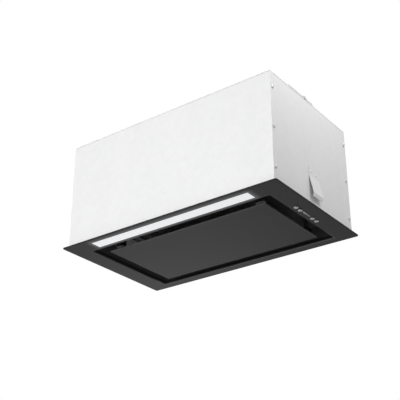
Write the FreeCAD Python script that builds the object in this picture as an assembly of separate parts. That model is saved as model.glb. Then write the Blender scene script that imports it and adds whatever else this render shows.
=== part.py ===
import FreeCAD, Part
import math
import os

# A built-in range hood that hangs in a wall unit, in millimetres, with +Z up and -Y to the cook.
# The origin is the centre of the plane where the rim's seal meets the underside of the unit.

V = FreeCAD.Vector
TINY = 0.001
PAST = 1.0

# Fascia, a folded steel plate with a rolled rim and an upstand round the suction opening
FASCIA_W = 525.0
FASCIA_D = 310.0
FASCIA_SHEET = 1.2
FASCIA_CORNER = 4.5
FASCIA_EDGE = 1.6
FASCIA_RIM = 1.2
SIDE_RAIL = 44.0
BACK_RAIL = 22.2
FRONT_RAIL = 6.3
OPENING_CORNER = 2.0
OPENING_EDGE = 1.4
OPENING_LIP = 8.0

# Foam seal between the fascia and the unit
SEAL_T = 1.8
SEAL_GAP = 0.8

# Galvanised casing of five sheets, screwed at its corners
CASING_INSET = 10.0
CASING_H = 240.0
CASING_SHEET = 0.8
CASING_BEND = 0.8
CASING_FOOT = 4.5
CASING_LEDGE = 12.0
CASING_RETURN = 14.0
FIXING_HOLE_R = 3.25
FIXING_INSET_X = 26.0
FIXING_INSET_Y = 24.0
BEAD_L = 150.0
BEAD_W = 12.0
BEAD_H = 1.6
BEAD_CORNER = 4.0
BEAD_INSET = 34.0
BEAD_COUNT = 3

# Pan-head screws
SCREW_R = 1.75
SCREW_FIT = 0.1
SCREW_L = 7.0
SCREW_HEAD_R = 3.5
SCREW_HEAD_T = 2.2
SCREW_RECESS_R = 1.2
SCREW_RECESS = 1.2
SCREW_EDGE = 7.0
SCREWS_PER_CORNER = 3
SCREW_END = 34.0
LEDGE_SCREW_X = 190.0
LEDGE_SCREW_Y = 70.0

# Intake well, a black tray over the suction opening with a hole for the filter
WELL_DEPTH = 38.0
WELL_SHEET = 0.8
WELL_FIT = 0.2
WELL_BEND = 3.0
WELL_FOOT = 3.0

# Suction panel, a thin plate with air slots all round it
SLOT_SIDE = 26.5
SLOT_END = 23.0
PANEL_T = 2.0
PANEL_CORNER = 2.0
PANEL_EDGE = 0.8
RIB_END = 32.0
RIB_W = 34.0
RIB_H = 7.0
RIB_SHEET = 0.8
RIB_SLOPE = 5.0
RIB_FOOT = 8.0
RIB_PITCH = 80.0
RIB_BEND = 0.8

# Rear hinges of the panel
HINGE_INSET = 17.0
HINGE_SETBACK = 6.0
HINGE_RISE = 17.0
HINGE_PIN_R = 2.5
HINGE_RUN = 0.06
HINGE_SEAT = 0.02
EAR_T = 4.0
EAR_R = 7.0
EAR_GAP = 0.4
PIN_HEAD_R = 4.0
PIN_HEAD_T = 1.6
PIN_END_GAP = 0.2
BRACKET_W = 24.0
BRACKET_D = 24.0
BRACKET_T = 2.0
ARM_FOOT_W = 18.0
ARM_FOOT_D = 26.0
ARM_FOOT_T = 1.6

# Front magnet catches of the panel
STRIKER_W = 18.0
STRIKER_D = 8.5
STRIKER_H = 11.0
STRIKER_SETBACK = 10.0
STRIKER_EDGE = 0.8
HOLDER_WALL = 3.0
MAGNET_R = 5.5
MAGNET_T = 4.0
MAGNET_FIT = 0.05
MAGNET_GAP = 0.4

# Light strip behind the front edge
LIGHT_L = 384.0
LIGHT_W = 24.0
LIGHT_GAP = 0.7
BEZEL_W = 3.0
BEZEL_EAR = 6.0
BEZEL_EAR_T = 1.2
LENS_STEP = 1.2
LENS_STEP_RISE = 1.4
LENS_FIT = 0.2
LENS_PROUD = 0.4
LENS_FLANGE = 0.9
LENS_EDGE = 0.3
LAMP_H = 13.5
LAMP_WALL = 1.2
LAMP_BOARD_T = 1.6
LAMP_BOARD_GAP = 1.0
CHIP_SIZE = 3.0
CHIP_T = 0.8
CHIP_PITCH = 16.0

# Push-buttons and indicator bar on the right rail
CONTROL_Y = 2.0
BUTTON_R = 4.2
BUTTON_GAP = 0.4
BUTTON_PROUD = 1.2
BUTTON_EDGE = 0.3
BUTTON_DISH = 0.5
BUTTON_BRIM = 0.8
BUTTON_TRAVEL = 0.8
BUTTON_PITCH = 15.2
BUTTON_STEPS = (-2.5, -1.5, 1.5, 2.5)
BUTTON_LAP = 0.5
BUTTON_COLLAR_T = 1.0
BUTTON_SEAT = 0.3
STEM_R = 2.5
STEM_RUN = 0.08
TIP_R = 1.5
TIP_L = 1.8
TIP_RUN = 0.2
GUIDE_T = 2.0
GUIDE_GAP = 0.5
SWITCH_SIZE = 6.0
SWITCH_H = 3.5
SWITCH_GAP = 0.3
CONTROL_WALL = 1.2
CONTROL_END = 14.0
CONTROL_GAP = 0.5
CONTROL_CLEAR = 0.3
CONTROL_BOARD_T = 1.6
BAR_L = 27.0
BAR_W = 2.0
BAR_FIT = 0.2
BAR_FLANGE = 1.0
BAR_FLANGE_T = 1.5
PLUG_W = 8.0
PLUG_D = 12.0
PLUG_H = 6.0

# Grease filter in the ceiling of the well
FILTER_MARGIN = 36.0
FILTER_STRIP = 27.0
FILTER_GAP = 0.6
FILTER_T = 9.0
FILTER_DROP = 1.8
FILTER_BORDER = 8.0
FILTER_CORNER = 3.0
MESH_T = 3.0
MESH_ROD = 2.4
MESH_COLUMNS = 22
MESH_ROWS = 13
TONGUE_W = 40.0
TONGUE_T = 1.2
TONGUE_LAP = 5.0
TONGUE_X = 100.0
SILL_GAP = 0.3
CUP_W = 44.0
CUP_D = 26.0
CUP_WALL = 1.5
LATCH_GAP = 0.3
LATCH_TRAVEL = 5.0
BOLT_W = 24.0
BOLT_T = 2.0
BOLT_LAP = 3.4
SLIDER_FRONT = 8.0
SLIDER_D = 8.0
SLIDER_RISE = 0.7
TAB_W = 30.0
TAB_T = 3.0
TAB_H = 10.0
TAB_SETBACK = 2.0
TAB_EDGE = 1.0
COIL_R = 2.2
COIL_WIRE = 0.5
COIL_TURNS = 5
COIL_STEPS = 4

# Double-inlet blower on a cross axis
IMPELLER_R = 56.0
IMPELLER_HALF = 58.0
BLADE_DEPTH = 10.0
BLADE_T = 1.4
BLADE_COUNT = 36
BLADE_LEAN = 28.0
HUB_DISC_T = 3.0
HUB_R = 11.0
HUB_BACK = 9.0
HUB_FRONT = 4.0
RIM_T = 2.5
SHAFT_R = 4.0
SHAFT_RUN = 0.05
SHAFT_L = 57.0
CUTOFF_GAP = 6.0
SPIRAL_GROWTH = 24.0
TONGUE_ANGLE = 70.0
SPIRAL_ARCS = 10
SCROLL_SIDE = 5.0
SCROLL_WALL = 2.0
SCROLL_BASE = 8.0
BLOWER_Y = -25.0
INLET_R = 47.0
INLET_LIP_W = 4.0
INLET_LIP_T = 3.0
THROAT_RISE = 8.0

# Motor inside the right half of the impeller, with its three-armed bracket
MOTOR_R = 37.0
MOTOR_GAP = 4.0
MOTOR_L = 50.0
MOTOR_EDGE = 4.0
MOTOR_BOSS_R = 20.0
BUSH_R = 7.0
BUSH_T = 4.0
BUSH_RING_R = 56.0
BRACKET_ARM_W = 12.0
BRACKET_ARM_T = 3.0
BRACKET_HUB_R = 25.0
BRACKET_ARMS = 3

# Outlet: flared duct, collar and two check-valve flaps on one pin
COLLAR_R = 74.5
COLLAR_WALL = 2.0
COLLAR_H = 45.0
COLLAR_FLANGE = 11.5
COLLAR_FLANGE_T = 2.0
COLLAR_LEAD = 1.0
OUTLET_Y = 28.0
OUTLET_HOLE_R = 73.0
DUCT_WALL = 2.0
DUCT_MOUTH = 148.0
SEAT_W = 5.0
SEAT_T = 2.0
FLAP_T = 1.2
FLAP_GAP = 1.5
FLAP_LIFT = 0.3
FLAP_PIN_R = 1.5
FLAP_RUN = 0.08
FLAP_PIN_RISE = 3.0
KNUCKLE_R = 3.0
KNUCKLE_L = 18.0
KNUCKLE_PITCH = 22.0
KNUCKLE_GAP = 0.5
FLAP_STOP_L = 4.0
FLAP_STOP_W = 8.0
FLAP_PIN_END = 1.3

# Terminal box on the casing's roof
BOX_W = 110.0
BOX_D = 100.0
BOX_H = 34.0
BOX_WALL = 2.0
BOX_CORNER = 5.0
BOX_INSET = 22.0
BOX_Y = 10.0
LID_T = 2.0
LID_LIP = 3.0
LID_FIT = 0.2
POST_R = 4.0
POST_H = 8.0
BOARD_W = 92.0
BOARD_D = 56.0
BOARD_T = 1.6
BOARD_SETBACK = 6.0
RELAY_W = 16.0
RELAY_D = 12.0
RELAY_H = 14.0
RELAY_PITCH = 20.0
RELAY_COUNT = 3
RELAY_OFFSET = 14.0
TERMINAL_L = 24.0
TERMINAL_OFFSET = 11.2
CAPACITOR_R = 11.0
CAPACITOR_L = 60.0
CAPACITOR_EDGE = 1.5
SADDLE_W = 8.0
GLAND_R = 6.0
GLAND_BORE_R = 4.2
GLAND_FLANGE_R = 9.0
GLAND_FLANGE_T = 8.0
GLAND_NUT_T = 4.0
GLAND_FIT = 0.1
GLAND_RISE = 18.0

# Leads that run inside the casing
LEAD_R = 2.0
LEAD_PITCH = 10.0
GROMMET_W = 34.0
GROMMET_D = 12.0
GROMMET_LIP = 2.0
GROMMET_LIP_T = 1.5
LEAD_FIT = 0.2
LEAD_ARC_SHARE = 0.45
GROMMET_OFFSET = 14.0
SOCKET_W = 8.0

# Leaf springs on the casing's sides, which grip the unit's bottom board
LEAF_W = 36.0
LEAF_SHEET = 0.8
LEAF_FOOT = 22.0
LEAF_Z = 66.0
LEAF_STAND = 9.0
LEAF_KNEE = 27.0
LEAF_TIP = 20.0
LEAF_TIP_STAND = 6.0
LEAF_BEND = 2.0

# Heights and places that follow from the sizes above
FASCIA_TOP = -SEAL_T
FACE = FASCIA_TOP - FASCIA_SHEET
RIM_CORNER = max(FASCIA_CORNER - FASCIA_SHEET, TINY)
SEAL_CORNER = max(RIM_CORNER - SEAL_GAP, TINY)
CASING_W = FASCIA_W - 2 * CASING_INSET
CASING_D = FASCIA_D - 2 * CASING_INSET
CASING_TOP = FASCIA_TOP + CASING_H
ROOF = CASING_TOP - CASING_SHEET
LIGHT_Y = -CASING_D / 2 + CASING_SHEET + LIGHT_GAP + BEZEL_W + LIGHT_W / 2
OPENING_W = FASCIA_W - 2 * SIDE_RAIL
OPENING_FRONT = LIGHT_Y + LIGHT_W / 2 + BEZEL_W + FRONT_RAIL
OPENING_BACK = FASCIA_D / 2 - BACK_RAIL
OPENING_D = OPENING_BACK - OPENING_FRONT
OPENING_Y = (OPENING_FRONT + OPENING_BACK) / 2
CEILING = FACE + WELL_DEPTH
SILL = CEILING + WELL_SHEET + SILL_GAP
PANEL_W = OPENING_W - 2 * SLOT_SIDE
PANEL_D = OPENING_D - 2 * SLOT_END
PANEL_TOP = FACE + PANEL_T
PANEL_FRONT = OPENING_Y - PANEL_D / 2
PANEL_BACK = OPENING_Y + PANEL_D / 2
HINGE_X = PANEL_W / 2 - HINGE_INSET
HINGE_Y = PANEL_BACK - HINGE_SETBACK
HINGE_Z = FACE + HINGE_RISE
STRIKER_Y = PANEL_FRONT + STRIKER_SETBACK + STRIKER_D / 2
STRIKER_TOP = PANEL_TOP + STRIKER_H
FILTER_W = PANEL_W - 2 * FILTER_MARGIN
FILTER_D = OPENING_D - 2 * FILTER_STRIP
FILTER_FRONT = OPENING_Y - FILTER_D / 2
FILTER_BACK = OPENING_Y + FILTER_D / 2
FILTER_LOW = CEILING - FILTER_DROP
FILTER_TOP = FILTER_LOW + FILTER_T
CONTROL_LEFT = OPENING_W / 2 + FASCIA_SHEET + WELL_FIT + WELL_SHEET + WELL_FOOT + CONTROL_GAP
CONTROL_RIGHT = CASING_W / 2 - CASING_FOOT - CONTROL_GAP
BUTTON_COLLAR_R = BUTTON_R + BUTTON_GAP + BUTTON_LAP
CONTROL_X = CONTROL_LEFT + CONTROL_WALL + CONTROL_CLEAR + BUTTON_COLLAR_R
CUTOFF_R = IMPELLER_R + CUTOFF_GAP
SPIRAL_END_R = CUTOFF_R + SPIRAL_GROWTH
BLOWER_Z = FILTER_TOP + SCROLL_BASE + SPIRAL_END_R
SCROLL_HALF = IMPELLER_HALF + SCROLL_SIDE
SCROLL_SIDE_X = SCROLL_HALF + SCROLL_WALL
TONGUE_Y = BLOWER_Y + CUTOFF_R * math.cos(math.radians(TONGUE_ANGLE))
THROAT_Z = BLOWER_Z + CUTOFF_R * math.sin(math.radians(TONGUE_ANGLE)) + THROAT_RISE
BRACKET_X = SCROLL_SIDE_X + INLET_LIP_T + BUSH_T
COLLAR_BASE = CASING_TOP + COLLAR_FLANGE_T
FLAP_PIN_Z = COLLAR_BASE + SEAT_T + FLAP_LIFT + FLAP_PIN_RISE
BOX_X = CASING_W / 2 - BOX_INSET - BOX_W / 2
BOX_FRONT = BOX_Y - BOX_D / 2
BOARD_Y = BOX_FRONT + BOX_WALL + BOARD_SETBACK + BOARD_D / 2
BOARD_Z = CASING_TOP + BOX_WALL + POST_H
GROMMET_X = BOX_X - BOARD_W / 2 + GROMMET_OFFSET + GROMMET_W / 2


def block(x0, x1, y0, y1, z0, z1):
    return Part.makeBox(x1 - x0, y1 - y0, z1 - z0, V(x0, y0, z0))


def upright_edges(shape):
    found = []
    for edge in shape.Edges:
        size = edge.BoundBox
        if size.XLength < TINY and size.YLength < TINY:
            found.append(edge)
    return found


def level_edges(shape, z):
    found = []
    for edge in shape.Edges:
        size = edge.BoundBox
        if abs(size.ZMin - z) < TINY and abs(size.ZMax - z) < TINY:
            found.append(edge)
    return found


def slab(width, depth, z0, z1, x=0.0, y=0.0, corner=0.0):
    body = block(x - width / 2, x + width / 2, y - depth / 2, y + depth / 2, z0, z1)
    if corner > 0:
        body = body.makeFillet(corner, upright_edges(body))
    return body


def along_x(radius, x0, x1, y, z):
    return Part.makeCylinder(radius, x1 - x0, V(x0, y, z), V(1, 0, 0))


def along_z(radius, z0, z1, x, y):
    return Part.makeCylinder(radius, z1 - z0, V(x, y, z0))


def joined(shapes):
    return shapes[0].multiFuse(shapes[1:]).removeSplitter()


def mirrored(shape):
    return shape.mirror(V(0, 0, 0), V(1, 0, 0))


def rounded_wire(corners, radii):
    """A closed flat wire through the corners, each rounded to its own radius."""
    turns = []
    for i, corner in enumerate(corners):
        back = (corners[i - 1] - corner).normalize()
        ahead = (corners[(i + 1) % len(corners)] - corner).normalize()
        half = back.getAngle(ahead) / 2
        reach = radii[i] / math.tan(half)
        middle = (back + ahead).normalize() * (radii[i] / math.sin(half) - radii[i])
        turns.append((corner + back * reach, corner + middle, corner + ahead * reach))
    edges = []
    for i, (start, middle, end) in enumerate(turns):
        if radii[i] > 0:
            edges.append(Part.Arc(start, middle, end).toShape())
        edges.append(Part.makeLine(end, turns[(i + 1) % len(turns)][0]))
    return Part.Wire(edges)


def folded(path, sheet, bend, place, sweep):
    """Sheet metal bent along a path, lying on the left of it, and as long as the sweep."""
    steps = [(V(*b, 0) - V(*a, 0)).normalize() for a, b in zip(path, path[1:])]
    normals = [V(-step.y, step.x, 0) for step in steps]
    near, far, near_r, far_r = [], [], [], []
    for i, point in enumerate(path):
        first = normals[max(i - 1, 0)]
        second = normals[min(i, len(normals) - 1)]
        offset = (first + second) * (sheet / (1 + first.dot(second)))
        is_end = i in (0, len(path) - 1)
        turns_left = not is_end and steps[i - 1].cross(steps[i]).z > 0
        near.append(place(*point))
        far.append(place(point[0] + offset.x, point[1] + offset.y))
        near_r.append(0 if is_end else bend + sheet * turns_left)
        far_r.append(0 if is_end else bend + sheet * (not turns_left))
    wire = rounded_wire(near + far[::-1], near_r + far_r[::-1])
    return Part.Face(wire).extrude(sweep)


def pan_screw(place, axis):
    """One screw with its head's seat at the place and its head out along the axis."""
    shank = Part.makeCylinder(SCREW_R, SCREW_L, place, axis * -1)
    head = Part.makeCylinder(SCREW_HEAD_R, SCREW_HEAD_T, place, axis)
    outer = [e for e in head.Edges if abs((e.CenterOfMass - place).dot(axis) - SCREW_HEAD_T) < TINY]
    head = head.makeFillet(SCREW_HEAD_T / 2, outer)
    recess_base = place + axis * (SCREW_HEAD_T - SCREW_RECESS)
    recess = Part.makeCylinder(SCREW_RECESS_R, SCREW_RECESS + PAST, recess_base, axis)
    return joined([shank, head]).cut(recess)


def screw_hole(place, axis):
    start = place + axis * PAST
    return Part.makeCylinder(SCREW_R + SCREW_FIT, SCREW_L + 2 * PAST, start, axis * -1)


def corner_screws():
    """Screws through the casing's sides into the returns of its front and back sheets."""
    low = FASCIA_TOP + SCREW_END
    step = (ROOF - SCREW_END - low) / (SCREWS_PER_CORNER - 1)
    places = []
    for side in (-1, 1):
        for end in (-1, 1):
            for row in range(SCREWS_PER_CORNER):
                y = end * (CASING_D / 2 - SCREW_EDGE)
                places.append((V(side * CASING_W / 2, y, low + row * step), V(side, 0, 0)))
    return places


def roof_screws():
    """Screws through the casing's roof into the ledges of its four walls."""
    ledge_x = CASING_W / 2 - SCREW_EDGE
    ledge_y = CASING_D / 2 - SCREW_EDGE
    places = []
    for end in (-1, 1):
        for x in (-LEDGE_SCREW_X, LEDGE_SCREW_X):
            places.append((V(x, end * ledge_y, CASING_TOP), V(0, 0, 1)))
        for y in (-LEDGE_SCREW_Y, LEDGE_SCREW_Y):
            places.append((V(end * ledge_x, y, CASING_TOP), V(0, 0, 1)))
    return places


def collar_screws():
    """Screws through the collar's flange and the roof into the flared duct."""
    ring = COLLAR_R + COLLAR_FLANGE / 2
    spots = [(-ring, 0), (ring, 0), (0, -ring), (0, ring)]
    return [(V(x, OUTLET_Y + y, COLLAR_BASE), V(0, 0, 1)) for x, y in spots]


def bracket_screws():
    """Screws through the motor bracket's arms and bushes into the side of the scroll."""
    places = []
    for arm in range(BRACKET_ARMS):
        angle = 2 * math.pi * arm / BRACKET_ARMS + math.pi / 2
        y = BLOWER_Y + BUSH_RING_R * math.cos(angle)
        z = BLOWER_Z + BUSH_RING_R * math.sin(angle)
        places.append((V(BRACKET_X + BRACKET_ARM_T, y, z), V(1, 0, 0)))
    return places


def drilled(shape, places):
    return shape.cut([screw_hole(*place) for place in places])


def pan_screws():
    places = corner_screws() + roof_screws() + collar_screws() + bracket_screws()
    return Part.makeCompound([pan_screw(*place) for place in places])


def fascia():
    plate = slab(FASCIA_W, FASCIA_D, FACE, FASCIA_TOP + FASCIA_RIM, corner=FASCIA_CORNER)
    plate = plate.makeFillet(FASCIA_EDGE, level_edges(plate, FACE))
    pocket = slab(
        FASCIA_W - 2 * FASCIA_SHEET,
        FASCIA_D - 2 * FASCIA_SHEET,
        FASCIA_TOP,
        FASCIA_TOP + FASCIA_RIM + PAST,
        corner=RIM_CORNER,
    )
    lip_top = FACE + OPENING_LIP
    upstand = slab(
        OPENING_W + 2 * FASCIA_SHEET,
        OPENING_D + 2 * FASCIA_SHEET,
        FASCIA_TOP - FASCIA_SHEET / 2,
        lip_top,
        y=OPENING_Y,
        corner=OPENING_CORNER + FASCIA_SHEET,
    )
    hole = slab(OPENING_W, OPENING_D, FACE - PAST, lip_top + PAST, y=OPENING_Y, corner=OPENING_CORNER)
    body = plate.cut(pocket).fuse(upstand).cut(hole).removeSplitter()
    inner = [e for e in level_edges(body, FACE) if abs(e.CenterOfMass.x) < OPENING_W / 2 + TINY]
    inner = [e for e in inner if OPENING_FRONT - TINY < e.CenterOfMass.y < OPENING_BACK + TINY]
    body = body.makeFillet(OPENING_EDGE, inner)
    window = slab(
        LIGHT_L + 2 * BEZEL_W + 2 * LENS_FIT,
        LIGHT_W + 2 * BEZEL_W + 2 * LENS_FIT,
        FACE - PAST,
        FASCIA_TOP + PAST,
        y=LIGHT_Y,
    )
    cuts = [window, bar_slot(FACE - PAST, FASCIA_TOP + PAST)]
    for y in button_rows():
        cuts.append(along_z(BUTTON_R + BUTTON_GAP, FACE - PAST, FASCIA_TOP + PAST, CONTROL_X, y))
    return body.cut(cuts)


def flange_seal():
    outer_inset = 2 * (FASCIA_SHEET + SEAL_GAP)
    outer = slab(FASCIA_W - outer_inset, FASCIA_D - outer_inset, FASCIA_TOP, 0, corner=SEAL_CORNER)
    inner = slab(CASING_W + 2 * SEAL_GAP, CASING_D + 2 * SEAL_GAP, FASCIA_TOP - PAST, PAST)
    return outer.cut(inner)


def casing_right():
    half = CASING_W / 2
    path = [(half - CASING_FOOT, FASCIA_TOP), (half, FASCIA_TOP), (half, ROOF), (half - CASING_LEDGE, ROOF)]
    body = folded(
        path, CASING_SHEET, CASING_BEND, lambda u, v: V(u, -CASING_D / 2, v), V(0, CASING_D, 0)
    )
    inner = half - CASING_SHEET
    notch = CASING_RETURN + PAST
    low = FASCIA_TOP - PAST
    for y0 in (-CASING_D / 2 - PAST, CASING_D / 2 - notch):
        body = body.cut(block(inner - CASING_LEDGE, inner, y0, y0 + notch + PAST, low, CASING_TOP))
    return drilled(body, corner_screws() + roof_screws())


def casing_back():
    half = CASING_W / 2 - CASING_SHEET
    rear = CASING_D / 2
    path = [(rear - CASING_FOOT, FASCIA_TOP), (rear, FASCIA_TOP), (rear, ROOF), (rear - CASING_LEDGE, ROOF)]
    body = folded(path, CASING_SHEET, CASING_BEND, lambda u, v: V(-half, u, v), V(2 * half, 0, 0))
    returns = []
    for x0 in (-half, half - CASING_SHEET):
        returns.append(
            block(x0, x0 + CASING_SHEET, rear - CASING_RETURN, rear - CASING_SHEET, FASCIA_TOP, ROOF)
        )
    body = joined([body] + returns)
    return drilled(body, corner_screws() + roof_screws())


def casing_front():
    body = casing_back().mirror(V(0, 0, 0), V(0, 1, 0))
    front = -CASING_D / 2 + CASING_SHEET
    half = LIGHT_L / 2 + BEZEL_W + BEZEL_EAR + PAST
    foot_top = FASCIA_TOP + CASING_SHEET + CASING_BEND
    return body.cut(block(-half, half, front, front + CASING_FOOT, FASCIA_TOP - PAST, foot_top))


def roof_bead(x):
    outer = slab(BEAD_W, BEAD_L, CASING_TOP - TINY, CASING_TOP + BEAD_H, x=x, corner=BEAD_CORNER)
    outer = outer.makeFillet(BEAD_H / 2, level_edges(outer, CASING_TOP + BEAD_H))
    inner_w = BEAD_W - 2 * CASING_SHEET
    inner_l = BEAD_L - 2 * CASING_SHEET
    inner_top = CASING_TOP + BEAD_H - CASING_SHEET
    inner = slab(inner_w, inner_l, ROOF - PAST, inner_top, x=x, corner=BEAD_CORNER - CASING_SHEET)
    return outer, inner


def fixing_places():
    x = CASING_W / 2 - FIXING_INSET_X
    y = CASING_D / 2 - FIXING_INSET_Y
    return [(-x, -y), (x, -y), (-x, y), (x, y)]


def casing_top():
    body = slab(CASING_W, CASING_D, ROOF, CASING_TOP)
    for row in range(1, BEAD_COUNT + 1):
        outer, inner = roof_bead(row * BEAD_INSET - CASING_W / 2)
        body = body.fuse(outer).cut(inner)
    cuts = [along_z(OUTLET_HOLE_R, ROOF - PAST, CASING_TOP + PAST, 0, OUTLET_Y)]
    cuts += [along_z(FIXING_HOLE_R, ROOF - PAST, CASING_TOP + PAST, x, y) for x, y in fixing_places()]
    cuts.append(slab(GROMMET_W, GROMMET_D, ROOF - PAST, CASING_TOP + PAST, x=GROMMET_X, y=BOARD_Y))
    body = body.cut(cuts).removeSplitter()
    return drilled(body, roof_screws() + collar_screws())


def intake_well():
    lift = FASCIA_SHEET + WELL_FIT
    inner_w = OPENING_W + 2 * lift
    inner_d = OPENING_D + 2 * lift
    corner = OPENING_CORNER + lift
    top = CEILING + WELL_SHEET
    outer_w = inner_w + 2 * WELL_SHEET
    outer_d = inner_d + 2 * WELL_SHEET
    outer = slab(outer_w, outer_d, FASCIA_TOP, top, y=OPENING_Y, corner=corner + WELL_SHEET)
    outer = outer.makeFillet(WELL_BEND + WELL_SHEET, level_edges(outer, top))
    foot_w = outer_w + 2 * WELL_FOOT
    foot_d = outer_d + 2 * WELL_FOOT
    foot = slab(foot_w, foot_d, FASCIA_TOP, FASCIA_TOP + WELL_SHEET, y=OPENING_Y, corner=corner)
    front = OPENING_FRONT - lift - WELL_SHEET
    foot = foot.cut(block(-FASCIA_W, FASCIA_W, -FASCIA_D, front, FACE, CEILING))
    inner = slab(inner_w, inner_d, FASCIA_TOP - PAST, CEILING, y=OPENING_Y, corner=corner)
    inner = inner.makeFillet(WELL_BEND, level_edges(inner, CEILING))
    hole = slab(
        FILTER_W + 2 * FILTER_GAP,
        FILTER_D + 2 * FILTER_GAP,
        CEILING - PAST,
        top + PAST,
        y=OPENING_Y,
        corner=FILTER_CORNER + FILTER_GAP,
    )
    return joined([outer, foot]).cut([inner, hole])


def suction_panel():
    body = slab(PANEL_W, PANEL_D, FACE, PANEL_TOP, y=OPENING_Y, corner=PANEL_CORNER)
    return body.makeFillet(PANEL_EDGE, level_edges(body, FACE))


def panel_ribs():
    half_l = PANEL_W / 2 - RIB_END
    top = PANEL_TOP + RIB_H
    foot = PANEL_TOP + RIB_SHEET
    ribs = []
    for y in (OPENING_Y + RIB_PITCH / 2, OPENING_Y - RIB_PITCH / 2):
        half = RIB_W / 2
        path = [
            (y + half + RIB_FOOT, foot),
            (y + half, foot),
            (y + half - RIB_SLOPE, top),
            (y - half + RIB_SLOPE, top),
            (y - half, foot),
            (y - half - RIB_FOOT, foot),
        ]
        ribs.append(
            folded(path, RIB_SHEET, RIB_BEND, lambda u, v: V(-half_l, u, v), V(2 * half_l, 0, 0))
        )
    return Part.makeCompound(ribs)


def hinge_arm():
    inner = HINGE_X + EAR_GAP / 2
    ear = joined(
        [
            block(inner, inner + EAR_T, HINGE_Y - EAR_R, HINGE_Y + EAR_R, PANEL_TOP, HINGE_Z),
            along_x(EAR_R, inner, inner + EAR_T, HINGE_Y, HINGE_Z),
        ]
    )
    foot_back = min(HINGE_Y + EAR_R, PANEL_BACK - PANEL_EDGE)
    foot = block(
        inner + EAR_T - ARM_FOOT_W,
        inner + EAR_T,
        foot_back - ARM_FOOT_D,
        foot_back,
        PANEL_TOP,
        PANEL_TOP + ARM_FOOT_T,
    )
    left = inner - PAST
    right = inner + EAR_T + PAST
    heel = block(left, right, foot_back, HINGE_Y + 2 * EAR_R, FACE, PANEL_TOP + ARM_FOOT_T)
    bore = along_x(HINGE_PIN_R + HINGE_RUN, left, right, HINGE_Y, HINGE_Z)
    return joined([ear, foot]).cut([heel, bore])


def hinge_bracket():
    outer = HINGE_X - EAR_GAP / 2
    plate_base = CEILING - BRACKET_T
    ear = joined(
        [
            block(outer - EAR_T, outer, HINGE_Y - EAR_R, HINGE_Y + EAR_R, HINGE_Z, plate_base),
            along_x(EAR_R, outer - EAR_T, outer, HINGE_Y, HINGE_Z),
        ]
    )
    plate = block(
        outer - EAR_T,
        outer - EAR_T + BRACKET_W,
        HINGE_Y - BRACKET_D / 2,
        HINGE_Y + BRACKET_D / 2,
        plate_base,
        CEILING,
    )
    bore = along_x(HINGE_PIN_R + HINGE_SEAT, outer - EAR_T - PAST, outer + PAST, HINGE_Y, HINGE_Z)
    return joined([ear, plate]).cut(bore)


def hinge_pin():
    left = HINGE_X - EAR_GAP / 2 - EAR_T - PIN_END_GAP
    right = HINGE_X + EAR_GAP / 2 + EAR_T + PIN_END_GAP
    return joined(
        [
            along_x(HINGE_PIN_R, left, right, HINGE_Y, HINGE_Z),
            along_x(PIN_HEAD_R, left - PIN_HEAD_T, left, HINGE_Y, HINGE_Z),
            along_x(PIN_HEAD_R, right, right + PIN_HEAD_T, HINGE_Y, HINGE_Z),
        ]
    )


def hinge_pins():
    pin = hinge_pin()
    return Part.makeCompound([pin, mirrored(pin)])


def striker():
    body = slab(STRIKER_W, STRIKER_D, PANEL_TOP, STRIKER_TOP, x=HINGE_X, y=STRIKER_Y)
    rounded = upright_edges(body) + level_edges(body, STRIKER_TOP)
    return body.makeFillet(STRIKER_EDGE, rounded)


def catch_magnet():
    low = STRIKER_TOP + MAGNET_GAP
    return along_z(MAGNET_R, low, low + MAGNET_T, HINGE_X, STRIKER_Y)


def catch_magnets():
    magnet = catch_magnet()
    return Part.makeCompound([magnet, mirrored(magnet)])


def catch_holder():
    low = STRIKER_TOP + MAGNET_GAP
    side = 2 * (MAGNET_R + MAGNET_FIT + HOLDER_WALL)
    body = slab(side, side, low, CEILING, x=HINGE_X, y=STRIKER_Y, corner=HOLDER_WALL)
    pocket = along_z(MAGNET_R + MAGNET_FIT, low - PAST, low + MAGNET_T, HINGE_X, STRIKER_Y)
    return body.cut(pocket)


def light_bezel():
    outer_l = LIGHT_L + 2 * BEZEL_W
    outer_w = LIGHT_W + 2 * BEZEL_W
    step = FASCIA_TOP + LENS_STEP_RISE
    top = step + LENS_FLANGE
    frame = slab(outer_l, outer_w, FACE, top, y=LIGHT_Y)
    ears = slab(outer_l + 2 * BEZEL_EAR, LIGHT_W, FASCIA_TOP, FASCIA_TOP + BEZEL_EAR_T, y=LIGHT_Y)
    window = slab(LIGHT_L + 2 * LENS_FIT, LIGHT_W + 2 * LENS_FIT, FACE - PAST, step + PAST, y=LIGHT_Y)
    seat_extra = 2 * (LENS_STEP + LENS_FIT)
    seat = slab(LIGHT_L + seat_extra, LIGHT_W + seat_extra, step, top + PAST, y=LIGHT_Y)
    return joined([frame, ears]).cut([window, seat])


def light_lens():
    step = FASCIA_TOP + LENS_STEP_RISE
    pane = slab(LIGHT_L, LIGHT_W, FACE - LENS_PROUD, step, y=LIGHT_Y)
    pane = pane.makeFillet(LENS_EDGE, level_edges(pane, FACE - LENS_PROUD))
    flange = slab(LIGHT_L + 2 * LENS_STEP, LIGHT_W + 2 * LENS_STEP, step, step + LENS_FLANGE, y=LIGHT_Y)
    return joined([pane, flange])


def light_housing():
    base = FASCIA_TOP + LENS_STEP_RISE + LENS_FLANGE
    outer_l = LIGHT_L + 2 * BEZEL_W
    outer_w = LIGHT_W + 2 * BEZEL_W
    body = slab(outer_l, outer_w, base, base + LAMP_H, y=LIGHT_Y)
    inner = slab(
        outer_l - 2 * LAMP_WALL, outer_w - 2 * LAMP_WALL, base - PAST, base + LAMP_H - LAMP_WALL, y=LIGHT_Y
    )
    return body.cut(inner)


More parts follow.
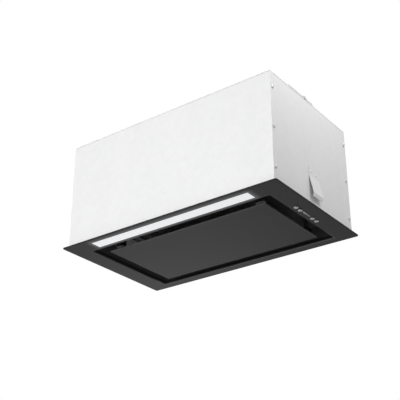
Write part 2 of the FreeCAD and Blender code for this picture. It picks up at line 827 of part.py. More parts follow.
def light_board():
    roof = FASCIA_TOP + LENS_STEP_RISE + LENS_FLANGE + LAMP_H - LAMP_WALL
    inset = 2 * (LAMP_WALL + LAMP_BOARD_GAP)
    low = roof - LAMP_BOARD_T
    board = slab(LIGHT_L + 2 * BEZEL_W - inset, LIGHT_W + 2 * BEZEL_W - inset, low, roof, y=LIGHT_Y)
    count = int(LIGHT_L // CHIP_PITCH)
    chips = []
    for i in range(count):
        x = (i - (count - 1) / 2) * CHIP_PITCH
        chips.append(slab(CHIP_SIZE, CHIP_SIZE, low - CHIP_T, low, x=x, y=LIGHT_Y))
    return joined([board] + chips)


def button_rows():
    return [CONTROL_Y + step * BUTTON_PITCH for step in BUTTON_STEPS]


def bar_slot(z0, z1):
    return slab(BAR_W + 2 * BAR_FIT, BAR_L + 2 * BAR_FIT, z0, z1, x=CONTROL_X, y=CONTROL_Y)


def button(y):
    """One push-button: a dished cap, a collar that stops on the fascia, a stem and a switch tip."""
    collar = FASCIA_TOP + BUTTON_SEAT
    collar_top = collar + BUTTON_COLLAR_T
    stem_top = switch_low() - BUTTON_TRAVEL - SWITCH_GAP
    cap = along_z(BUTTON_R, FACE - BUTTON_PROUD, collar, CONTROL_X, y)
    cap = cap.makeFillet(BUTTON_EDGE, level_edges(cap, FACE - BUTTON_PROUD))
    dish_r = BUTTON_R - BUTTON_BRIM
    ball_r = (dish_r ** 2 + BUTTON_DISH ** 2) / (2 * BUTTON_DISH)
    ball = Part.makeSphere(ball_r, V(CONTROL_X, y, FACE - BUTTON_PROUD + BUTTON_DISH - ball_r))
    cap = cap.cut(ball)
    return joined(
        [
            cap,
            along_z(BUTTON_COLLAR_R, collar, collar_top, CONTROL_X, y),
            along_z(STEM_R, collar_top, stem_top, CONTROL_X, y),
            along_z(TIP_R, stem_top, stem_top + TIP_L, CONTROL_X, y),
        ]
    )


def guide_low():
    return FASCIA_TOP + BUTTON_SEAT + BUTTON_COLLAR_T + BUTTON_TRAVEL + GUIDE_GAP


def switch_low():
    return guide_low() + GUIDE_T + BAR_FLANGE_T + SWITCH_GAP


def control_length():
    return (BUTTON_STEPS[-1] - BUTTON_STEPS[0]) * BUTTON_PITCH + 2 * CONTROL_END


def control_housing():
    left = CONTROL_LEFT
    right = CONTROL_RIGHT
    front = CONTROL_Y - control_length() / 2
    back = CONTROL_Y + control_length() / 2
    low = guide_low()
    top = switch_low() + SWITCH_H
    body = block(left, right, front, back, FASCIA_TOP, top)
    inset = (left + CONTROL_WALL, right - CONTROL_WALL, front + CONTROL_WALL, back - CONTROL_WALL)
    cuts = [block(*inset, FASCIA_TOP - PAST, low), block(*inset, low + GUIDE_T, top + PAST)]
    for y in button_rows():
        cuts.append(along_z(STEM_R + STEM_RUN, low - PAST, low + GUIDE_T + PAST, CONTROL_X, y))
    cuts.append(bar_slot(low - PAST, low + GUIDE_T + PAST))
    return body.cut(cuts)


def control_board():
    """The circuit board that lids the control housing, with a push switch over each button."""
    low = switch_low()
    base = low + SWITCH_H
    middle = (CONTROL_LEFT + CONTROL_RIGHT) / 2
    width = CONTROL_RIGHT - CONTROL_LEFT
    board = slab(width, control_length(), base, base + CONTROL_BOARD_T, x=middle, y=CONTROL_Y)
    switches = []
    bores = []
    for y in button_rows():
        switches.append(slab(SWITCH_SIZE, SWITCH_SIZE, low, base, x=CONTROL_X, y=y))
        bores.append(along_z(TIP_R + TIP_RUN, low - PAST, low + TIP_L, CONTROL_X, y))
    plug_top = base + CONTROL_BOARD_T + PLUG_H
    plug = slab(PLUG_W, PLUG_D, base + CONTROL_BOARD_T, plug_top, x=middle, y=CONTROL_Y)
    return joined([board, plug] + switches).cut(bores)


def indicator_bar():
    seat = guide_low() + GUIDE_T
    bar = slab(BAR_W, BAR_L, FACE, seat, x=CONTROL_X, y=CONTROL_Y)
    flange = slab(
        BAR_W + 2 * BAR_FLANGE, BAR_L + 2 * BAR_FLANGE, seat, seat + BAR_FLANGE_T, x=CONTROL_X, y=CONTROL_Y
    )
    return joined([bar, flange])


def cup_block():
    return block(-CUP_W / 2, CUP_W / 2, FILTER_FRONT, FILTER_FRONT + CUP_D, FILTER_LOW, FILTER_TOP)


def filter_frame():
    outer = slab(FILTER_W, FILTER_D, FILTER_LOW, FILTER_TOP, y=OPENING_Y, corner=FILTER_CORNER)
    inner_w = FILTER_W - 2 * FILTER_BORDER
    inner_d = FILTER_D - 2 * FILTER_BORDER
    inner = slab(inner_w, inner_d, FILTER_LOW - PAST, FILTER_TOP + PAST, y=OPENING_Y)
    tongues = []
    root = FILTER_BACK - FILTER_BORDER
    tip = FILTER_BACK + FILTER_GAP + TONGUE_LAP
    for x in (-TONGUE_X, TONGUE_X):
        tongues.append(block(x - TONGUE_W / 2, x + TONGUE_W / 2, root, tip, SILL, SILL + TONGUE_T))
    return joined([outer.cut(inner)] + tongues).cut(cup_block())


def filter_mesh():
    """A flat grid plate that stands for the layered mesh, clear of the latch's cup."""
    width = FILTER_W - 2 * FILTER_BORDER
    depth = FILTER_D - 2 * FILTER_BORDER
    z0 = (FILTER_LOW + FILTER_TOP - MESH_T) / 2
    step_x = (width - MESH_ROD) / MESH_COLUMNS
    step_y = (depth - MESH_ROD) / MESH_ROWS
    corner_x = -width / 2 + MESH_ROD
    corner_y = OPENING_Y - depth / 2 + MESH_ROD
    outline = Part.makePlane(width, depth, V(-width / 2, OPENING_Y - depth / 2, z0)).OuterWire
    wires = [outline]
    for column in range(MESH_COLUMNS):
        for row in range(MESH_ROWS):
            x = corner_x + column * step_x
            y = corner_y + row * step_y
            beside_cup = x > CUP_W / 2 + MESH_ROD or x + step_x < -CUP_W / 2
            behind_cup = y > FILTER_FRONT + CUP_D + MESH_ROD
            if beside_cup or behind_cup:
                hole = Part.makePlane(step_x - MESH_ROD, step_y - MESH_ROD, V(x, y, z0)).OuterWire
                hole.reverse()
                wires.append(hole)
    plate = Part.Face(wires).extrude(V(0, 0, MESH_T))
    return plate.cut(cup_block())


def latch_cup():
    body = cup_block()
    half = CUP_W / 2 - CUP_WALL
    inner = block(
        -half,
        half,
        FILTER_FRONT + CUP_WALL,
        FILTER_FRONT + CUP_D - CUP_WALL,
        FILTER_LOW - PAST,
        FILTER_TOP - CUP_WALL,
    )
    slot = block(
        -BOLT_W / 2 - LATCH_GAP,
        BOLT_W / 2 + LATCH_GAP,
        FILTER_FRONT - PAST,
        FILTER_FRONT + CUP_WALL + PAST,
        SILL - LATCH_GAP,
        SILL + BOLT_T + LATCH_GAP,
    )
    return body.cut([inner, slot])


def slider_back():
    return FILTER_FRONT + SLIDER_FRONT + SLIDER_D


def filter_latch():
    """The spring latch: a bolt over the well's front edge, a slider in the cup and a finger tab."""
    half = CUP_W / 2 - CUP_WALL - LATCH_GAP
    slider_front = FILTER_FRONT + SLIDER_FRONT
    slider_low = FILTER_LOW + SLIDER_RISE
    bolt_tip = FILTER_FRONT - FILTER_GAP - BOLT_LAP
    bolt = block(-BOLT_W / 2, BOLT_W / 2, bolt_tip, slider_front + TINY, SILL, SILL + BOLT_T)
    slider = block(-half, half, slider_front, slider_back(), slider_low, FILTER_TOP - CUP_WALL - LATCH_GAP)
    tab_front = slider_front + TAB_SETBACK
    tab = block(-TAB_W / 2, TAB_W / 2, tab_front, tab_front + TAB_T, slider_low - TAB_H, slider_low)
    tab = tab.makeFillet(TAB_EDGE, level_edges(tab, slider_low - TAB_H))
    return joined([bolt, slider, tab])


def coil_path(radius, length, turns, place):
    """Quarter-turn arcs along a coil whose axis runs from place(0) on."""
    pieces = turns * COIL_STEPS

    def point(step):
        angle = 2 * math.pi * step / COIL_STEPS
        return place(step / pieces * length, radius * math.cos(angle), radius * math.sin(angle))

    arcs = [Part.Arc(point(i), point(i + 0.5), point(i + 1)).toShape() for i in range(pieces)]
    return Part.Wire(arcs)


def latch_spring():
    start = slider_back() + COIL_WIRE / 2
    end = FILTER_FRONT + CUP_D - CUP_WALL - COIL_WIRE / 2
    z = SILL + BOLT_T / 2
    path = coil_path(COIL_R, end - start, COIL_TURNS, lambda u, v, w: V(v, start + u, z + w))
    gap = (end - start) / COIL_TURNS - COIL_WIRE
    print("latch spring gap between turns", round(gap, 2))
    first = path.Edges[0]
    begin = first.FirstParameter
    circle = Part.makeCircle(COIL_WIRE / 2, first.valueAt(begin), first.tangentAt(begin))
    return path.makePipeShell([Part.Wire([circle])], True, False)


def spiral_body(extra, half, throat_top):
    """The blower's air space as a solid: a growing spiral, its round core and its throat."""

    def point(angle):
        share = (angle - TONGUE_ANGLE) / (360 - TONGUE_ANGLE)
        radius = CUTOFF_R + SPIRAL_GROWTH * share + extra
        turn = math.radians(angle)
        return V(-half, BLOWER_Y + radius * math.cos(turn), BLOWER_Z + radius * math.sin(turn))

    step = (360 - TONGUE_ANGLE) / SPIRAL_ARCS
    centre = V(-half, BLOWER_Y, BLOWER_Z)
    edges = [Part.makeLine(centre, point(TONGUE_ANGLE))]
    for i in range(SPIRAL_ARCS):
        angle = TONGUE_ANGLE + i * step
        edges.append(Part.Arc(point(angle), point(angle + step / 2), point(angle + step)).toShape())
    edges.append(Part.makeLine(point(360), centre))
    spiral = Part.Face(Part.Wire(edges)).extrude(V(2 * half, 0, 0))
    core = along_x(CUTOFF_R + extra, -half, half, BLOWER_Y, BLOWER_Z)
    rear = BLOWER_Y + SPIRAL_END_R + extra
    throat = block(-half, half, TONGUE_Y - extra, rear, BLOWER_Z, throat_top)
    return joined([spiral, core, throat])


def scroll():
    shell = spiral_body(SCROLL_WALL, SCROLL_SIDE_X, THROAT_Z)
    lips = along_x(
        INLET_R + INLET_LIP_W, -SCROLL_SIDE_X - INLET_LIP_T, SCROLL_SIDE_X + INLET_LIP_T, BLOWER_Y, BLOWER_Z
    )
    air = spiral_body(0, SCROLL_HALF, THROAT_Z + PAST)
    reach = SCROLL_SIDE_X + INLET_LIP_T + PAST
    inlets = along_x(INLET_R, -reach, reach, BLOWER_Y, BLOWER_Z)
    return drilled(joined([shell, lips]).cut([air, inlets]), bracket_screws())


def scroll_half(side):
    reach = SCROLL_SIDE_X + INLET_LIP_T + PAST
    x0, x1 = sorted((0, side * reach))
    return scroll().common(block(x0, x1, -CASING_D, CASING_D, FASCIA_TOP, CASING_TOP))


def rectangle(x_half, y0, y1, z):
    corners = [V(-x_half, y0, z), V(x_half, y0, z), V(x_half, y1, z), V(-x_half, y1, z)]
    return rounded_wire(corners, [0] * 4)


def outlet_duct():
    """The flared duct from the scroll's throat to the square mouth under the roof."""

    def flare(extra):
        low = rectangle(
            SCROLL_HALF + extra, TONGUE_Y - extra, BLOWER_Y + SPIRAL_END_R + extra, THROAT_Z
        )
        half = DUCT_MOUTH / 2 + extra
        high = rectangle(half, OUTLET_Y - half, OUTLET_Y + half, ROOF)
        return Part.makeLoft([low, high], True, True)

    wide = 2 * (COLLAR_R + COLLAR_FLANGE)
    flange = slab(wide, wide, ROOF - DUCT_WALL, ROOF, y=OUTLET_Y)
    body = joined([flare(DUCT_WALL), flange]).cut(flare(0))
    return drilled(body, collar_screws())


def impeller():
    """A squirrel-cage wheel: hub disc, two rims and a ring of leaning blades on each side."""
    inner_r = IMPELLER_R - BLADE_DEPTH
    disc = along_x(IMPELLER_R, -HUB_DISC_T / 2, HUB_DISC_T / 2, BLOWER_Y, BLOWER_Z)
    hub = along_x(HUB_R, -HUB_BACK, HUB_FRONT, BLOWER_Y, BLOWER_Z)
    solids = [disc, hub]
    for x0 in (-IMPELLER_HALF, IMPELLER_HALF - RIM_T):
        rim = along_x(IMPELLER_R, x0, x0 + RIM_T, BLOWER_Y, BLOWER_Z)
        solids.append(rim.cut(along_x(inner_r, x0 - PAST, x0 + RIM_T + PAST, BLOWER_Y, BLOWER_Z)))
    blade_l = BLADE_DEPTH / math.cos(math.radians(BLADE_LEAN)) + BLADE_T
    for i in range(BLADE_COUNT):
        blade = block(-IMPELLER_HALF, IMPELLER_HALF, 0, blade_l, -BLADE_T / 2, BLADE_T / 2)
        blade.rotate(V(0, 0, 0), V(1, 0, 0), BLADE_LEAN)
        blade.translate(V(0, inner_r, 0))
        blade.rotate(V(0, 0, 0), V(1, 0, 0), 360 * i / BLADE_COUNT)
        blade.translate(V(0, BLOWER_Y, BLOWER_Z))
        solids.append(blade)
    trim = along_x(IMPELLER_R, -IMPELLER_HALF, IMPELLER_HALF, BLOWER_Y, BLOWER_Z)
    bore = along_x(SHAFT_R, -IMPELLER_HALF, IMPELLER_HALF, BLOWER_Y, BLOWER_Z)
    return joined(solids).common(trim).cut(bore)


def motor_shaft():
    return along_x(SHAFT_R, -HUB_BACK, -HUB_BACK + SHAFT_L, BLOWER_Y, BLOWER_Z)


def motor():
    front = HUB_FRONT + MOTOR_GAP
    can = along_x(MOTOR_R, front, front + MOTOR_L, BLOWER_Y, BLOWER_Z)
    ends = [e for e in can.Edges if e.BoundBox.XLength < TINY]
    can = can.makeFillet(MOTOR_EDGE, ends)
    boss = along_x(MOTOR_BOSS_R, front + MOTOR_L - MOTOR_EDGE, BRACKET_X, BLOWER_Y, BLOWER_Z)
    bore_end = -HUB_BACK + SHAFT_L + PAST
    bore = along_x(SHAFT_R + SHAFT_RUN, front - PAST, bore_end, BLOWER_Y, BLOWER_Z)
    return joined([can, boss]).cut(bore)


def motor_bracket():
    hub = along_x(BRACKET_HUB_R, BRACKET_X, BRACKET_X + BRACKET_ARM_T, BLOWER_Y, BLOWER_Z)
    solids = [hub]
    for place, axis in bracket_screws():
        arm = block(0, BRACKET_ARM_T, 0, BUSH_RING_R, -BRACKET_ARM_W / 2, BRACKET_ARM_W / 2)
        turn = math.degrees(math.atan2(place.z - BLOWER_Z, place.y - BLOWER_Y))
        arm.rotate(V(0, 0, 0), V(1, 0, 0), turn)
        arm.translate(V(BRACKET_X, BLOWER_Y, BLOWER_Z))
        pad = along_x(BUSH_R, BRACKET_X, BRACKET_X + BRACKET_ARM_T, place.y, place.z)
        solids += [arm, pad]
    return drilled(joined(solids), bracket_screws())


def motor_bushes():
    bushes = []
    for place, axis in bracket_screws():
        bush = along_x(BUSH_R, SCROLL_SIDE_X, BRACKET_X, place.y, place.z)
        around = along_x(
            INLET_R + INLET_LIP_W + SCREW_FIT, SCROLL_SIDE_X - PAST, BRACKET_X - BUSH_T, BLOWER_Y, BLOWER_Z
        )
        bushes.append(drilled(bush.cut(around), [(place, axis)]))
    return Part.makeCompound(bushes)


def outlet_collar():
    inner_r = COLLAR_R - COLLAR_WALL
    top = COLLAR_BASE + COLLAR_H
    tube = along_z(COLLAR_R, COLLAR_BASE - COLLAR_FLANGE_T, top, 0, OUTLET_Y)
    tube = tube.makeChamfer(COLLAR_LEAD, level_edges(tube, top))
    flange = along_z(COLLAR_R + COLLAR_FLANGE, CASING_TOP, COLLAR_BASE, 0, OUTLET_Y)
    stops = []
    for side in (-1, 1):
        x0, x1 = sorted((side * (inner_r - FLAP_STOP_L), side * (COLLAR_R - COLLAR_WALL / 2)))
        half = FLAP_STOP_W / 2
        high = FLAP_PIN_Z + KNUCKLE_R
        stops.append(block(x0, x1, OUTLET_Y - half, OUTLET_Y + half, COLLAR_BASE, high))
    seat_top = COLLAR_BASE + SEAT_T
    air_low = along_z(inner_r - SEAT_W, CASING_TOP - PAST, seat_top + PAST, 0, OUTLET_Y)
    air_high = along_z(inner_r, seat_top, top + PAST, 0, OUTLET_Y)
    pin_half = inner_r - FLAP_PIN_END
    bore = along_x(FLAP_PIN_R + HINGE_SEAT, -pin_half, pin_half, OUTLET_Y, FLAP_PIN_Z)
    body = joined([tube, flange]).cut([air_low, air_high])
    inside = along_z(COLLAR_R - COLLAR_WALL / 2, COLLAR_BASE, top, 0, OUTLET_Y)
    body = joined([body] + [stop.common(inside) for stop in stops]).cut(bore)
    return drilled(body, collar_screws())


def flap_pin():
    half = COLLAR_R - COLLAR_WALL - FLAP_PIN_END
    return along_x(FLAP_PIN_R, -half, half, OUTLET_Y, FLAP_PIN_Z)


def knuckle(x0):
    return along_x(KNUCKLE_R, x0, x0 + KNUCKLE_L, OUTLET_Y, FLAP_PIN_Z)


def flap(side):
    """One half-round flap with two knuckles on the pin, on the front (-1) or back (1) side."""
    low = COLLAR_BASE + SEAT_T + FLAP_LIFT
    disc_r = COLLAR_R - COLLAR_WALL - FLAP_GAP
    edge = KNUCKLE_R + KNUCKLE_GAP
    disc = along_z(disc_r, low, low + FLAP_T, 0, OUTLET_Y)
    keep = block(-disc_r, disc_r, OUTLET_Y + edge, OUTLET_Y + 2 * disc_r, low - PAST, low + FLAP_T + PAST)
    stop_half = COLLAR_R - COLLAR_WALL - FLAP_STOP_L - FLAP_GAP
    first = -1.5 * KNUCKLE_PITCH if side < 0 else -0.5 * KNUCKLE_PITCH
    solids = [disc.common(keep)]
    for x in (first, first + 2 * KNUCKLE_PITCH):
        x0 = x - KNUCKLE_L / 2
        solids.append(knuckle(x0))
        solids.append(block(x0, x0 + KNUCKLE_L, OUTLET_Y, OUTLET_Y + edge + PAST, low, low + FLAP_T))
    bore = along_x(FLAP_PIN_R + FLAP_RUN, -disc_r, disc_r, OUTLET_Y, FLAP_PIN_Z)
    corners = []
    for x0, x1 in ((-2 * disc_r, -stop_half), (stop_half, 2 * disc_r)):
        clear = OUTLET_Y + FLAP_STOP_W / 2 + FLAP_GAP
        corners.append(block(x0, x1, OUTLET_Y - clear, clear, low - PAST, low + FLAP_T + PAST))
    body = joined(solids).cut([bore] + corners)
    if side < 0:
        body = body.mirror(V(0, OUTLET_Y, 0), V(0, 1, 0))
    return body


def terminal_box():
    """The open tray on the roof, with board posts, a capacitor saddle and the lead and cable holes."""
    top = CASING_TOP + BOX_H - LID_T
    floor = CASING_TOP + BOX_WALL
    body = slab(BOX_W, BOX_D, CASING_TOP, top, x=BOX_X, y=BOX_Y, corner=BOX_CORNER)
    inner_w = BOX_W - 2 * BOX_WALL
    inner_d = BOX_D - 2 * BOX_WALL
    inner = slab(inner_w, inner_d, floor, top + PAST, x=BOX_X, y=BOX_Y, corner=BOX_CORNER - BOX_WALL)
    posts = []
    for x in (-1, 1):
        for y in (-1, 1):
            post_x = BOX_X + x * (BOARD_W / 2 - POST_R)
            post_y = BOARD_Y + y * (BOARD_D / 2 - POST_R)
            posts.append(along_z(POST_R, floor, BOARD_Z, post_x, post_y))
    cap_half = CAPACITOR_L / 2
    for x in (-1, 1):
        saddle_x = BOX_X + x * cap_half / 2
        posts.append(slab(SADDLE_W, 2 * CAPACITOR_R, floor, capacitor_z(), x=saddle_x, y=capacitor_y()))
    cuts = [
        along_x(CAPACITOR_R, BOX_X - cap_half, BOX_X + cap_half, capacitor_y(), capacitor_z()),
        slab(GROMMET_W, GROMMET_D, CASING_TOP - PAST, floor + PAST, x=GROMMET_X, y=BOARD_Y),
        along_x(GLAND_R + GLAND_FIT, box_end() - BOX_WALL - PAST, box_end() + PAST, BOX_Y, gland_z()),
    ]
    return joined([body.cut(inner)] + posts).cut(cuts)


def box_end():
    return BOX_X + BOX_W / 2


def gland_z():
    return CASING_TOP + GLAND_RISE


def capacitor_y():
    return BOX_Y + BOX_D / 2 - 2 * BOX_WALL - CAPACITOR_R


def capacitor_z():
    return CASING_TOP + 2 * BOX_WALL + CAPACITOR_R


def capacitor():
    x0 = BOX_X - CAPACITOR_L / 2
    body = along_x(CAPACITOR_R, x0, x0 + CAPACITOR_L, capacitor_y(), capacitor_z())
    ends = [e for e in body.Edges if e.BoundBox.XLength < TINY]
    return body.makeFillet(CAPACITOR_EDGE, ends)


def terminal_lid():
    top = CASING_TOP + BOX_H
    plate = slab(BOX_W, BOX_D, top - LID_T, top, x=BOX_X, y=BOX_Y, corner=BOX_CORNER)
    plate = plate.makeFillet(LID_T / 2, level_edges(plate, top))
    inset = 2 * (BOX_WALL + LID_FIT)
    lip_w = BOX_W - inset
    lip_d = BOX_D - inset
    lip_corner = BOX_CORNER - BOX_WALL
    base = top - LID_T
    lip = slab(lip_w, lip_d, base - LID_LIP, base, x=BOX_X, y=BOX_Y, corner=lip_corner)
    hollow_w = lip_w - 2 * BOX_WALL
    hollow_d = lip_d - 2 * BOX_WALL
    hollow = slab(hollow_w, hollow_d, base - LID_LIP - PAST, base, x=BOX_X, y=BOX_Y)
    return joined([plate, lip.cut(hollow)])


def lead_spots():
    return [GROMMET_X + step * LEAD_PITCH for step in (-1, 0, 1)]


def socket_low():
    return CASING_TOP + BOX_WALL + GROMMET_LIP_T


def power_board():
    """The control board in the terminal box: relays, a terminal block and sockets for the leads."""
    high = BOARD_Z + BOARD_T
    board = slab(BOARD_W, BOARD_D, BOARD_Z, high, x=BOX_X, y=BOARD_Y)
    solids = [board]
    for i in range(RELAY_COUNT):
        x = BOX_X + (i - 1) * RELAY_PITCH
        solids.append(slab(RELAY_W, RELAY_D, high, high + RELAY_H, x=x, y=BOARD_Y - RELAY_OFFSET))
    terminal_x = BOX_X + BOARD_W / 2 - RELAY_W
    terminal_y = BOARD_Y + TERMINAL_OFFSET
    solids.append(slab(RELAY_W, TERMINAL_L, high, high + RELAY_H, x=terminal_x, y=terminal_y))
    for x in lead_spots():
        solids.append(slab(SOCKET_W, SOCKET_W, socket_low(), BOARD_Z, x=x, y=BOARD_Y))
    return joined(solids)


def cable_gland():
    wall = box_end()
    solids = [
        along_x(GLAND_R, wall - BOX_WALL - GLAND_NUT_T, wall + PAST, BOX_Y, gland_z()),
        along_x(GLAND_FLANGE_R, wall, wall + GLAND_FLANGE_T, BOX_Y, gland_z()),
        along_x(GLAND_FLANGE_R, wall - BOX_WALL - GLAND_NUT_T, wall - BOX_WALL, BOX_Y, gland_z()),
    ]
    bore = along_x(GLAND_BORE_R, wall - 2 * GLAND_FLANGE_R, wall + 2 * GLAND_FLANGE_R, BOX_Y, gland_z())
    return joined(solids).cut(bore)


def lead_grommet():
    """A rubber grommet in the slot that the roof and the terminal box share, with a lip at each end."""
    floor = CASING_TOP + BOX_WALL
    neck = slab(GROMMET_W, GROMMET_D, ROOF - GROMMET_LIP_T, floor + GROMMET_LIP_T, x=GROMMET_X, y=BOARD_Y)
    solids = [neck]
    for low in (ROOF - GROMMET_LIP_T, floor):
        solids.append(
            slab(
                GROMMET_W + 2 * GROMMET_LIP,
                GROMMET_D + 2 * GROMMET_LIP,
                low,
                low + GROMMET_LIP_T,
                x=GROMMET_X,
                y=BOARD_Y,
            )
        )
    low = ROOF - GROMMET_LIP_T - PAST
    high = floor + GROMMET_LIP_T + PAST
    bores = [along_z(LEAD_R + LEAD_FIT, low, high, x, BOARD_Y) for x in lead_spots()]
    return joined(solids).cut(bores)


def lead(name, points):
    """A round lead along straight runs joined by arcs as large as the runs allow."""
    edges = []
    start = points[0]
    radii = []
    for before, corner, after in zip(points, points[1:], points[2:]):
        back = before - corner
        ahead = after - corner
        half_turn = (math.pi - back.getAngle(ahead)) / 2
        reach = LEAD_ARC_SHARE * min(back.Length, ahead.Length)
        radius = reach / math.tan(half_turn)
        radii.append(round(radius, 1))
        back.normalize()
        ahead.normalize()
        first = corner + back * reach
        last = corner + ahead * reach
        bulge = radius / math.cos(half_turn) - radius
        middle = corner + (back + ahead).normalize() * bulge
        edges += [Part.makeLine(start, first), Part.Arc(first, middle, last).toShape()]
        start = last
    edges.append(Part.makeLine(start, points[-1]))
    path = Part.Wire(edges)
    circle = Part.makeCircle(LEAD_R, points[0], points[1] - points[0])
    body = path.makePipeShell([Part.Wire([circle])], True, False)
    share = body.Volume / (math.pi * LEAD_R ** 2 * path.Length)
    print(name, "length", round(path.Length), "radii", radii, "volume share", round(share, 4))
    return body


def wiring_leads():
    """Leads from the motor, the light and the buttons up through the grommet to the board's sockets."""
    motor_x, light_x, control_x = lead_spots()
    top = socket_low()
    below = top - CASING_TOP + ROOF - GROMMET_OFFSET
    motor_end = HUB_FRONT + MOTOR_GAP + MOTOR_L
    motor_ring = (MOTOR_R + MOTOR_BOSS_R) / 2
    exit_turn = math.pi / 2 - math.pi / BRACKET_ARMS
    motor_y = BLOWER_Y + motor_ring * math.cos(exit_turn)
    motor_z = BLOWER_Z + motor_ring * math.sin(exit_turn)
    motor_lead = lead(
        "motor lead",
        [
            V(motor_end, motor_y, motor_z),
            V(motor_end + 30, motor_y, motor_z),
            V(motor_end + 58, motor_y - 1, motor_z + 20),
            V(motor_end + 80, BOARD_Y - 2, motor_z + 54),
            V(motor_x, BOARD_Y, below),
            V(motor_x, BOARD_Y, top),
        ],
    )
    light_end = LIGHT_L / 2 + BEZEL_W
    light_z = FASCIA_TOP + LENS_STEP_RISE + LENS_FLANGE + LAMP_H / 2
    light_lead = lead(
        "light lead",
        [
            V(light_end, LIGHT_Y, light_z),
            V(light_end + 18, LIGHT_Y, light_z),
            V(light_end + 33, LIGHT_Y + 6, light_z + 14),
            V(light_end + 38, LIGHT_Y + 16, light_z + 58),
            V(light_end + 34, LIGHT_Y + 32, light_z + 112),
            V(light_end + 16, LIGHT_Y + 60, light_z + 158),
            V(light_end - 10, LIGHT_Y + 86, light_z + 190),
            V(light_x + 6, BOARD_Y - 4, below - 8),
            V(light_x, BOARD_Y, below + 8),
            V(light_x, BOARD_Y, top),
        ],
    )
    plug_x = (CONTROL_LEFT + CONTROL_RIGHT) / 2
    plug_z = switch_low() + SWITCH_H + CONTROL_BOARD_T + PLUG_H
    control_lead = lead(
        "control lead",
        [
            V(plug_x, CONTROL_Y, plug_z),
            V(plug_x, CONTROL_Y, plug_z + 40),
            V(plug_x - 3, CONTROL_Y + 3, plug_z + 92),
            V(plug_x - 16, CONTROL_Y + 6, plug_z + 140),
            V(plug_x - 42, CONTROL_Y + 4, plug_z + 176),
            V(control_x + 10, BOARD_Y + 2, below - 10),
            V(control_x, BOARD_Y, below + 8),
            V(control_x, BOARD_Y, top),
        ],
    )
    return Part.makeCompound([motor_lead, light_lead, control_lead])


def side_spring():
    """A leaf spring on the right side: a flat foot, a leaf that stands out and a turned-in tip."""
    wall = CASING_W / 2
    path = [
        (wall, LEAF_Z + LEAF_FOOT),
        (wall, LEAF_Z),
        (wall + LEAF_STAND - LEAF_SHEET, LEAF_KNEE),
        (wall + LEAF_TIP_STAND, LEAF_TIP),
    ]
    return folded(path, LEAF_SHEET, LEAF_BEND, lambda u, v: V(u, -LEAF_W / 2, v), V(0, LEAF_W, 0))


def save(name, shape):
    shape.exportStep("parts/" + name + ".step")


os.makedirs("parts", exist_ok=True)

save("fascia", fascia())
save("flange_seal", flange_seal())
save("intake_well", intake_well())
save("casing_front", casing_front())
save("casing_back", casing_back())
save("casing_right", casing_right())
save("casing_left", mirrored(casing_right()))
save("casing_top", casing_top())
save("pan_screws", pan_screws())
save("suction_panel", suction_panel())
save("panel_ribs", panel_ribs())
save("hinge_pins", hinge_pins())
save("catch_magnets", catch_magnets())
for piece_name, piece in (
    ("hinge_arm", hinge_arm()),
    ("hinge_bracket", hinge_bracket()),
    ("striker", striker()),
    ("catch_holder", catch_holder()),
    ("side_spring", side_spring()),
):
    save(piece_name + "_right", piece)
    save(piece_name + "_left", mirrored(piece))
save("light_bezel", light_bezel())
save("light_lens", light_lens())
save("light_housing", light_housing())
save("light_board", light_board())
for button_name, row in zip(("power", "slower", "faster", "light"), button_rows()):
    save("button_" + button_name, button(row))
save("control_housing", control_housing())
save("control_board", control_board())
save("indicator_bar", indicator_bar())
save("filter_frame", filter_frame())
save("filter_mesh", filter_mesh())
save("latch_cup", latch_cup())
save("filter_latch", filter_latch())
save("latch_spring", latch_spring())
save("scroll_left", scroll_half(-1))
save("scroll_right", scroll_half(1))
save("outlet_duct", outlet_duct())
save("impeller", impeller())
save("motor_shaft", motor_shaft())
save("motor", motor())
save("motor_bracket", motor_bracket())
save("motor_bushes", motor_bushes())
save("outlet_collar", outlet_collar())
save("flap_pin", flap_pin())
save("flap_front", flap(-1))
save("flap_back", flap(1))
save("terminal_box", terminal_box())
save("terminal_lid", terminal_lid())
save("power_board", power_board())
save("capacitor", capacitor())
save("cable_gland", cable_gland())
save("lead_grommet", lead_grommet())
save("wiring_leads", wiring_leads())
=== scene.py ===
import math
import bmesh
import bpy
from mathutils import Matrix, Vector


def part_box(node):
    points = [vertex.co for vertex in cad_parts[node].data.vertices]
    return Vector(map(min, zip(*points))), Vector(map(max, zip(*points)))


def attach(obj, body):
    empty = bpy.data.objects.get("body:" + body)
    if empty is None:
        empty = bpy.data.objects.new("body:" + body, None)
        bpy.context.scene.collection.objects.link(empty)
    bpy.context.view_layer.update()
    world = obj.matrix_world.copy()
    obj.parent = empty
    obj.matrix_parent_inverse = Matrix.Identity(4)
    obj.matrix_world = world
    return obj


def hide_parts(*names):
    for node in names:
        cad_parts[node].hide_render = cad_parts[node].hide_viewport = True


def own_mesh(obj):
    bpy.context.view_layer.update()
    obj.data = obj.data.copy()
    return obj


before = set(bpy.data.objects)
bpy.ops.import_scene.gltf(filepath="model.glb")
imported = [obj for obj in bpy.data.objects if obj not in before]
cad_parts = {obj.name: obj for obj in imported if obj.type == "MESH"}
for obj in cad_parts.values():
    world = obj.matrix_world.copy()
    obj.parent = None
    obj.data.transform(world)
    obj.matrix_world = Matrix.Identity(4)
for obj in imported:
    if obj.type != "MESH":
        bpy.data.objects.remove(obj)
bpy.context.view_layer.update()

# The casing is five sheets of galvanised steel, folded on a press brake and screwed at the corners.
# The zinc cools into pale crystals a few millimetres across, under a dull protective film
# that is rubbed a little brighter in broad streaks where the coil ran through the rollers.


